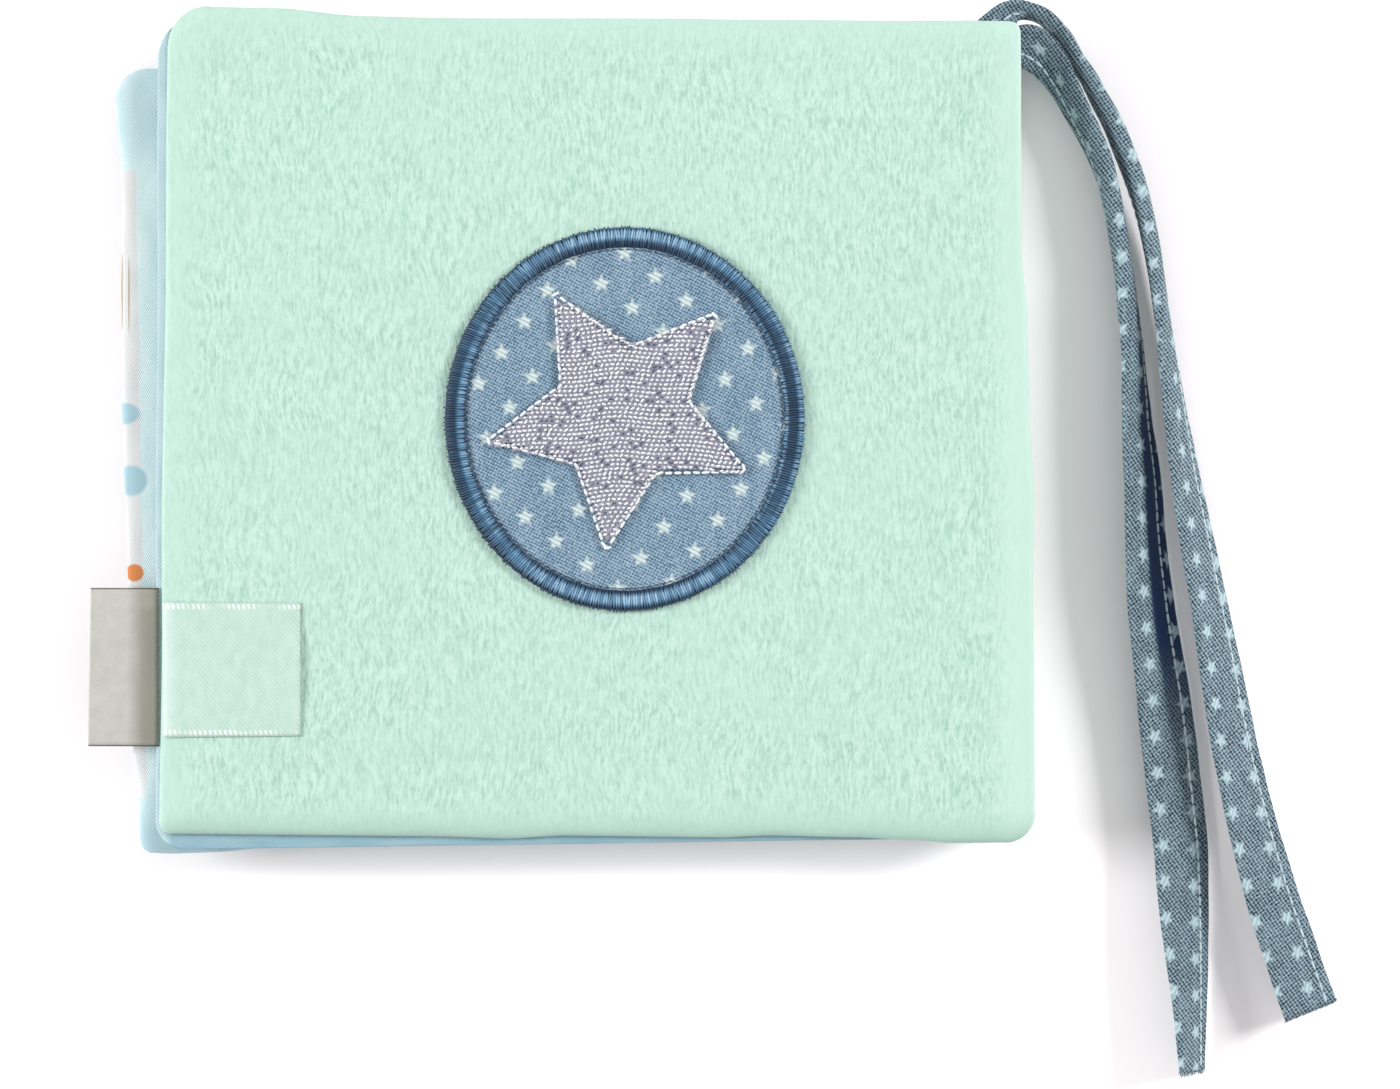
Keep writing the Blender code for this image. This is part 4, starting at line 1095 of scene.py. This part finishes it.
lining_cotton = plain_cotton("lining_cotton", (140, 182, 198), (176, 210, 222))
leaf_cotton = printed_cotton("leaf_printed_cotton")
print("shapes in the print:", len(PRINT_SHAPES))


# %% Linings and leaf
def crumple(x, y, scale):
    """Soft crackle of cotton over film, and puckers along the seam."""
    return (0.1 * bumps(x, y, 12, 15, 2.0) - 0.12
            + 0.22 * rim_share(scale, 0.94) * bumps(x, y, 4.5, 4.5, 8.0))


COTTON_WALL = 0.45
LINING = (COVER_RISE, COVER_ROLL, COTTON_WALL, 150, lining_cotton, crumple)
back_lining = build_bag("back_cover_lining_cloth", BACK_LINING, BACK_SEAM_Z - 0.1, -1, *LINING,
                        back_rises, lip=3.4)
front_lining = build_bag("front_cover_lining_cloth", FRONT_LINING, FRONT_SEAM_Z, 1, *LINING,
                         front_rises)
leaf_upper, leaf_lower = (
    build_bag(name, LEAF, LEAF_SEAM_Z, side, LEAF_RISE, LEAF_ROLL, COTTON_WALL, cells,
              leaf_cotton, crumple, leaf_rises)
    for name, side, cells in (("leaf_back_print_cloth", 1, 200),
                              ("leaf_front_print_cloth", -1, 150)))

# %% [markdown]
# ## The embroidered disc
#
# A disc of star chambray is laid on the plush and held by a dense ring of satin
# stitches over its raw edge. Satin thread shines along its length; the ring's painted
# sheen is light where the threads run up and down and dark where they run across.
# Inside it are a dark running stitch and a star, filled in rows with a white outline.

# %% Chambray disc
DISC_CENTRE = (5.5, 1.1)
RING_OUTER = (33.1, 35.3)
RING_WIDTH = 3.6
DISC_LOW, DISC_TOP, DISC_WALL = 18.1, 18.8, 0.45
DISC_REACH = RING_WIDTH - 0.4
DISC_TURNS, DISC_RINGS = 120, 26
disc_radii = [reach - DISC_REACH for reach in RING_OUTER]

disc_chambray = chambray("disc_chambray", "Object", ((5.686, -4.398), (-4.232, -5.686)),
                         (5.428, 31.648), math.radians(18), (1.12, 2.6), 0.58,
                         (66, 104, 134), (166, 190, 207), (226, 239, 230))


def disc_point(turn, share, lift):
    """A point on the disc, lifted by small puckers near its edge."""
    way = (math.cos(turn), math.sin(turn))
    x, y = (centre + radius * share * part
            for centre, radius, part in zip(DISC_CENTRE, disc_radii, way))
    pucker = 0.12 * share ** 3 * bumps(*way, 0.2, 0.2, share * 2)
    return x, y, DISC_LOW + lift * (DISC_WALL + 0.07 * bumps(x, y, 9, 9, 3.0) + pucker)


disc_verts = [disc_point(0, 0, 1), disc_point(0, 0, 0)] + [
    disc_point(math.tau * step / DISC_TURNS, ring / DISC_RINGS, lift)
    for lift in (1, 0) for ring in range(1, DISC_RINGS + 1) for step in range(DISC_TURNS)]
top_rings, low_rings = in_rows([ring_of(2 + ring * DISC_TURNS, DISC_TURNS)
                                for ring in range(2 * DISC_RINGS)], DISC_RINGS)
disc_faces = turned(quads(top_rings + low_rings[::-1]))
disc_faces += [(0, a, b) for a, b in zip(top_rings[0], top_rings[0][1:])]
disc_faces += [(b, a, 1) for a, b in zip(low_rings[0], low_rings[0][1:])]
disc = add_piece("applique_disc_cloth", disc_verts, disc_faces, disc_chambray)
print("disc", triangles(disc), "triangles")

# %% Satin ring
# Painted sheen of the satin on each side of the ring: weight of the side, the middle of
# the pale band from the inner edge (0) to the outer (1), half its width, its strength
PAINTED_SHEEN_BANDS = (("along", 1, 0.66, 0.34, 1.0), ("along", -1, 0.5, 0.36, 1.0),
               ("across", -1, 0.2, 0.3, 0.8), ("across", 1, 0.02, 0.2, 0.8),
               ("across", 1, 0.9, 0.26, 0.75))
PATH_POINTS = 240


def satin_finish(name, navy, steel, glint):
    """Satin thread round the disc with a painted sheen: the pale band shifts with the side it lies
    on.
    """
    satin = Finish(name, 0.4)
    across = (satin.x - DISC_CENTRE[0]) / RING_OUTER[0]
    along = (satin.y - DISC_CENTRE[1]) / RING_OUTER[1]
    radius = length_of(across, along)
    out = radius.spread(1 - RING_WIDTH / RING_OUTER[0], 1.0)
    bands = []
    for axis, sign, middle, half, strength in PAINTED_SHEEN_BANDS:
        side = ((along if axis == "along" else across) / radius * float(sign)).reckon(
            "MAXIMUM", 0.0)
        bands.append(abs(out - middle).spread(0.35 * half, half, strength, 0.0) * (side * side))
    light = sum(bands[1:], bands[0] + 0.08)
    light = light * satin.attribute("tone").spread(0.0, 1.0, 0.5, 1.3)
    colour = light.spread(0.0, 0.7).dye(navy, steel)
    return satin.paint(light.spread(0.7, 1.2).dye(colour, glint), satin.speckle(0.2, 1.0), 0.03,
                       Specular_IOR_Level=0.4)


def oval(inset, height):
    """Points round the disc, inset from the ring's outer edge."""
    turns = [math.tau * step / PATH_POINTS for step in range(PATH_POINTS)]
    return [(DISC_CENTRE[0] + (RING_OUTER[0] - inset) * math.cos(turn),
             DISC_CENTRE[1] + (RING_OUTER[1] - inset) * math.sin(turn), height)
            for turn in turns]


satin_thread = satin_finish("satin_thread", (20, 46, 72), (96, 144, 180), (158, 196, 220))
satin_arch = thread_shape("satin_arch", 6, 5, 0.72)
satin_ring = sew("satin_ring_threads", [oval(RING_WIDTH / 2, DISC_LOW + 0.05)], satin_arch,
                 (3.95, 0.5, 1.5), 0.46, satin_thread, 5, True, 0.13, math.pi / 2, 0.12)

# %% Running stitch inside the ring
navy_thread = thread_finish("navy_thread_twist", (22, 40, 66), (66, 92, 124))
running_stitch = sew("running_stitch_threads", [oval(RING_WIDTH + 0.5, DISC_TOP - 0.1)],
                     straight_stitch, (0.95, 0.22, 0.3), 1.3, navy_thread, 7, True)

# %% Rows of the star's filling
STAR_CENTRE = (5.0, 2.0)
STAR_TIP, STAR_NOTCH = 25.3, 12.5
STAR_TURN = math.radians(119.2)
STAR_TOP = 19.3
ROW_PITCH, ROW_STEP, SHORTEST_ROW = 0.8, 0.8, 1.2


def star_loop(share, points_per_side=1):
    """Corners of the star, tips and notches in turn."""
    corners = []
    for index in range(10):
        radius = share * (STAR_NOTCH if index % 2 else STAR_TIP)
        angle = STAR_TURN + index * math.pi / 5
        corners.append(Vector((STAR_CENTRE[0] + radius * math.cos(angle),
                               STAR_CENTRE[1] + radius * math.sin(angle))))
    return [corner.lerp(corners[(index + 1) % 10], step / points_per_side)
            for index, corner in enumerate(corners) for step in range(points_per_side)]


def row_height(x):
    """The rows of the filling aren't ruled: they sway a little."""
    return 0.5 * math.sin(x / 6.5 + 0.6) + 0.22 * math.sin(x / 2.3)


def star_rows(share):
    """Swaying rows across the star, cut at its outline, every second one offset."""
    loop = star_loop(share)
    rows = []
    count = int(2.2 * STAR_TIP / ROW_PITCH)
    for number in range(count):
        y = STAR_CENTRE[1] + (number - count / 2) * ROW_PITCH
        cuts = sorted(start.x + (end.x - start.x) * (y - start.y) / (end.y - start.y)
                      for start, end in zip(loop, loop[1:] + loop[:1])
                      if (start.y - y) * (end.y - y) < 0)
        for left, right in zip(cuts[::2], cuts[1::2]):
            left += 0.3 * (number % 2) + 0.1
            if right - left > SHORTEST_ROW:
                steps = max(int((right - left) / ROW_STEP), 2)
                places = [left + (right - left) * step / steps for step in range(steps + 1)]
                rows.append([(x, y + row_height(x), STAR_TOP) for x in places])
    return rows


def painted_glint_and_shade_finish(name):
    """Painted highlights on the turns of the lilac thread, and painted shade of needle holes among
    them.
    """
    thread = Finish(name, 0.4)
    return thread.paint(thread.attribute("tone").spread(0.1, 0.12).dye(
        (96, 100, 122), (255, 255, 255)))


# %% Sew the star
lilac_thread = thread_finish("lilac_thread_twist", (140, 141, 160), (198, 198, 214), 0.4)
white_thread = thread_finish("white_thread_twist", (240, 244, 250), (255, 255, 255), 0.45)
star_fill = sew("star_filling_threads", star_rows(0.985), straight_stitch, (1.3, 0.62, 0.42),
                0.92, lilac_thread, 3, False, 0.1, 0.35, 0.35)
star_flecks = sew("star_fleck_threads", star_rows(0.965), straight_stitch, (0.68, 0.46, 0.3),
                  0.95, painted_glint_and_shade_finish("thread_painted_glints_and_shade"), 31, False, 0.4, 0.3, 0.8)
star_flecks.data.transform(Matrix.Translation((0.2 * MM, 0.1 * MM, 0.2 * MM)))
outline_loop = star_loop(1.0, 8)
outline_loop = [(*point, STAR_TOP - 0.02) for point in outline_loop[4:] + outline_loop[:4]]
star_outline = sew("star_outline_threads", [outline_loop], straight_stitch, (1.5, 0.64, 0.44),
                   1.72, white_thread, 13, True, 0.1, 0.0, 0.1)

# %% [markdown]
# ## The two labels
#
# A soft satin care label and a woven tape label are caught in the free edge. Both
# are left bare. The satin one is dropped onto the plush with rays from above, so it
# follows the roll of the edge; the woven one is one strip, folded back on itself.

# %% Label finishes
CARE_CENTRE_Y, CARE_WIDTH, CARE_LENGTH = -45.0, 25.0, 25.4
SIDE_CENTRE_Y, SIDE_WIDTH, SIDE_LENGTH = -44.6, 29.2, 12.9


def from_side(tape, centre_y, width):
    """How far a place on the tape lies from its nearer side."""
    return abs(tape.y - centre_y) * -1.0 + width / 2


def satin_tape(name):
    """Thin pale satin with slanted glints, a painted highlight at its outer end and a selvedge line
    near each side.
    """
    tape = Finish(name, 0.42)
    glints = twill(tape.x, tape.y, 0.62, 0.75)
    colour = (tape.uneven(1.6, (1, 0.5, 1), 0.2, 0.6) + glints * 0.2).dye(
        (184, 218, 204), (220, 241, 232))
    # Painted highlight: the end at the free edge is painted paler, as the satin's glare
    colour = tape.x.spread(-79.0, -77.0, 0.5, 0.0).dye(colour, (230, 246, 240))
    line = abs(from_side(tape, CARE_CENTRE_Y, CARE_WIDTH) - 0.9)
    ticks = twill(tape.x, tape.y, 0.9, 0.25).spread(-0.2, 0.3)
    worn = tape.speckle(5, 1.0).spread(0.42, 0.58)
    selvedge = line.spread(0.3, 0.6, 1.0, 0.0) * ticks * worn
    return tape.paint(selvedge.dye(colour, (247, 253, 251)), glints, 0.02,
                      Specular_IOR_Level=0.45)


def woven_tape(name):
    """Grey-beige damask tape with fine ribs, a dark thread along each side and painted shade near
    the cover.
    """
    tape = Finish(name, 0.8)
    ribs, fine = twill(tape.x, tape.y, 0.5, 1.15), twill(tape.x, tape.y, 0.55, 2.5)
    colour = (tape.uneven(2.4, (1, 1, 1), 0.3, 0.7) + (ribs + fine) * 0.1).dye(
        (184, 182, 176), (212, 211, 205))
    # Painted shade: the end under the cover's rim and by the fold is painted darker
    colour = tape.x.spread(-86.4, -83.6, 0.0, 0.8).dye(colour, (156, 153, 140))
    side = from_side(tape, SIDE_CENTRE_Y, SIDE_WIDTH).spread(0.12, 0.34, 0.85, 0.0)
    return tape.paint(side.dye(colour, (66, 66, 70)), ribs, 0.02)


care_satin = satin_tape("care_label_satin")
side_tape = woven_tape("side_label_tape")
print("label finishes:", care_satin.name, side_tape.name)


# %% Sheets drawn along a profile
def slope(line, index):
    """The step from one neighbour on the line to the other."""
    return line[min(index + 1, len(line) - 1)] - line[max(index - 1, 0)]


def ribbon(name, columns, wall, finish):
    """A closed thin wall over a grid of points: columns of rows, wall added below."""
    lines = list(zip(*columns))
    verts = [point for column in columns for point in column]
    count, rows = len(verts), len(lines)
    verts += [point - slope(lines[r], c).cross(slope(column, r)).normalized() * wall
              for c, column in enumerate(columns) for r, point in enumerate(column)]
    top = in_rows(list(range(count)), rows)
    low = in_rows(list(range(count, 2 * count)), rows)
    top_lines, low_lines = list(zip(*top)), list(zip(*low))
    faces = turned(quads(top)) + quads(low)
    for pair in ((low_lines[0], top_lines[0]), (top_lines[-1], low_lines[-1]),
                 (low[-1], top[-1]), (top[0], low[0])):
        faces += quads(pair)
    return add_piece(name, verts, faces, finish)


# %% Care label, laid on the plush by rays from above
CARE_START_X = -79.6
CARE_STEPS = 34
CARE_LIFT, CARE_CURL = 0.3, 0.25
RAY_START = 50
LOWEST_PLUSH = 15.9
RAY_SPOTS = [(x, y) for x in (-0.5, 0.5, 1.0) for y in (-0.6, 0, 0.6)]
bpy.context.view_layer.update()


def plush_top(x, y):
    """Height of the plush's outer face under a point."""
    hit, place, _, _ = back_plush.ray_cast(Vector((x, y, RAY_START)) * MM, Vector((0, 0, -1)))
    return place.z / MM if hit else None


care_columns = []
for column in range(CARE_STEPS):
    share = column / (CARE_STEPS - 1)
    x = CARE_START_X + CARE_LENGTH * share
    points = []
    for row in range(CARE_STEPS):
        way = row / (CARE_STEPS - 1) - 0.5
        y = CARE_CENTRE_Y + CARE_WIDTH * way - 0.5 * share * way
        heights = sorted(filter(None, (plush_top(x + dx, y + dy) for dx, dy in RAY_SPOTS)))
        base = max(heights[-2] if len(heights) > 2 else 0, LOWEST_PLUSH)
        curl = CARE_CURL * smoothstep(0.85, 1.0, share) * (0.6 + math.cos(way * 5))
        x_end = x + (0.25 * bumps(y, 0, 1.2, 1, 0) if share == 1 else 0)
        points.append(Vector((x_end, y, base + CARE_LIFT + curl)))
    care_columns.append(points)
for _ in range(3):
    for before, column, after in zip(care_columns, care_columns[1:], care_columns[2:]):
        for low, point, high in zip(before, column, after):
            point.z = (low.z + 2 * point.z + high.z) / 4
care_label = ribbon("care_label_satin_tape", care_columns, 0.22, care_satin)
care_frays = sew("care_label_frayed_end",
                 [[point + Vector((0.1, 0, -0.1)) for point in care_columns[-1]]],
                 straight_stitch, (0.9, 0.09, 0.09), 0.35, care_satin, 41, False, 0.6,
                 math.pi / 2, 0.4)

# %% Side label, one strip folded back on itself
SIDE_START = (-80.5, 14.25)
SIDE_DROP, FOLD_RADIUS = 2.2, 0.34
SIDE_ROWS, SIDE_STEPS, FOLD_STEPS = 30, 14, 8
there = [step / SIDE_STEPS for step in range(SIDE_STEPS + 1)]
fold = [math.pi * step / FOLD_STEPS for step in range(1, FOLD_STEPS)]
profile = ([(share, FOLD_RADIUS) for share in there]
           + [(1 + FOLD_RADIUS / SIDE_LENGTH * math.sin(turn), FOLD_RADIUS * math.cos(turn))
              for turn in fold]
           + [(share, -FOLD_RADIUS) for share in there[::-1]])
side_columns = []
for share, lift in profile:
    column = []
    for row in range(SIDE_ROWS):
        way = row / (SIDE_ROWS - 1) - 0.5
        y = SIDE_CENTRE_Y + SIDE_WIDTH * way
        longer = -0.5 * way + 0.12 * bumps(y, 1, 8, 1, 0)
        x = SIDE_START[0] - (SIDE_LENGTH - FOLD_RADIUS + longer) * share
        pinch = lift * (0.75 + 0.5 * smoothstep(0.4, 0.95, share))
        z = SIDE_START[1] - SIDE_DROP * share ** 1.4 + pinch + 0.16 * bumps(x, y, 6, 9, 0)
        column.append(Vector((x, y, z)))
    side_columns.append(column[::-1])
side_label = ribbon("side_label_folded_tape", side_columns, 0.2, side_tape)
print("labels:", triangles(care_label), triangles(side_label), "triangles")

# %% [markdown]
# ## Pieces inside the book
#
# The wadding, the crackling film, the closing threads and the bar of stitches keep
# the CAD model's own shapes. They only need a finish.

# %% Finishes of the hidden pieces
def felted(name, deep, pale, size, roughness=0.95):
    """Loose fibres for wadding, or a soft grain for other hidden pieces."""
    cloth = Finish(name, roughness)
    grain = cloth.speckle(size, 4.0)
    return cloth.paint(grain.spread(0.3, 0.7).dye(deep, pale), grain, size / 6)


NODE_FINISHES = (
    (felted("wadding_fibre", (226, 226, 222), (248, 248, 246), 1.5),
     ("front_cover_wadding", "leaf_wadding", "back_cover_wadding")),
    (felted("crackle_film", (196, 202, 208), (226, 230, 234), 4, 0.22),
     ("front_cover_crinkle_film", "leaf_crinkle_film", "back_cover_crinkle_film")),
    (thread_finish("mint_seam_thread", (170, 214, 196), (205, 238, 224)),
     ("front_cover_seam_thread", "back_cover_seam_thread", "spine_seam_stitching")),
    (thread_finish("white_seam_thread", (214, 220, 228), (246, 248, 250)),
     ("leaf_seam_thread",)),
    (thread_finish("bar_thread", (46, 76, 108), (96, 132, 166)), ("tie_bartack",)),
    (thread_finish("ring_core_thread", (18, 38, 66), (40, 70, 106)), ("applique_satin_ring",)),
    (thread_finish("star_ground_thread", (150, 148, 168), (186, 184, 202)),
     ("star_embroidery",)),
)
for finish, names in NODE_FINISHES:
    for node_name in names:
        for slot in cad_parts[node_name].material_slots:
            slot.link = "OBJECT"
            slot.material = finish
print("finished CAD nodes:", sum(len(names) for finish, names in NODE_FINISHES))

# %% [markdown]
# ## What each piece rides on
#
# Every piece moves with a body of the CAD model. Each row also names the CAD node that
# the piece stands for, which is hidden, and a material slot. The ties, their stitches
# and frayed ends move with the front cover, each with a mesh of its own.

# %% Covers, leaf and disc
RIDERS = (
    (front_plush, "front_cover", "front_cover_plush", "mint_plush"),
    (front_lining, "front_cover", "front_cover_lining", "pale_cotton"),
    (leaf_lower, "inner_leaf", "leaf_front_print", "printed_cotton"),
    (leaf_upper, "inner_leaf", "leaf_back_print", "printed_cotton"),
    (back_plush, "back_cover", "back_cover_plush", "mint_plush"),
    (back_lining, "back_cover", "back_cover_lining", "pale_cotton"),
    (disc, "back_cover", "applique_disc", "star_chambray"),
    (satin_ring, "back_cover", None, "steel_blue_thread"),
    (running_stitch, "back_cover", "applique_running_stitch", "navy_thread"),
    (star_fill, "back_cover", None, "lilac_thread"),
    (star_flecks, "back_cover", None, "white_thread"),
    (star_outline, "back_cover", "star_outline_stitch", "white_thread"),
    (care_label, "care_label_flap", "care_label", "satin_tape"),
    (care_frays, "care_label_flap", None, "satin_tape"),
    (side_label, "side_label_flap", "side_label", "woven_tape"),
)
for piece, body, node_name, slot_name in RIDERS:
    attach(piece, body)
    if node_name:
        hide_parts(node_name)
print("riders:", len(RIDERS))

# %% Ties
for label, tie, rows in (("inner", inner_tie, inner_rows), ("outer", outer_tie, outer_rows)):
    extras = (tie_stitches[label], tie_frays[label])
    for piece in (tie, *extras):
        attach(piece, "front_cover")
    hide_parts(label + "_tie")
    for piece in (tie, *extras):
        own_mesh(piece)
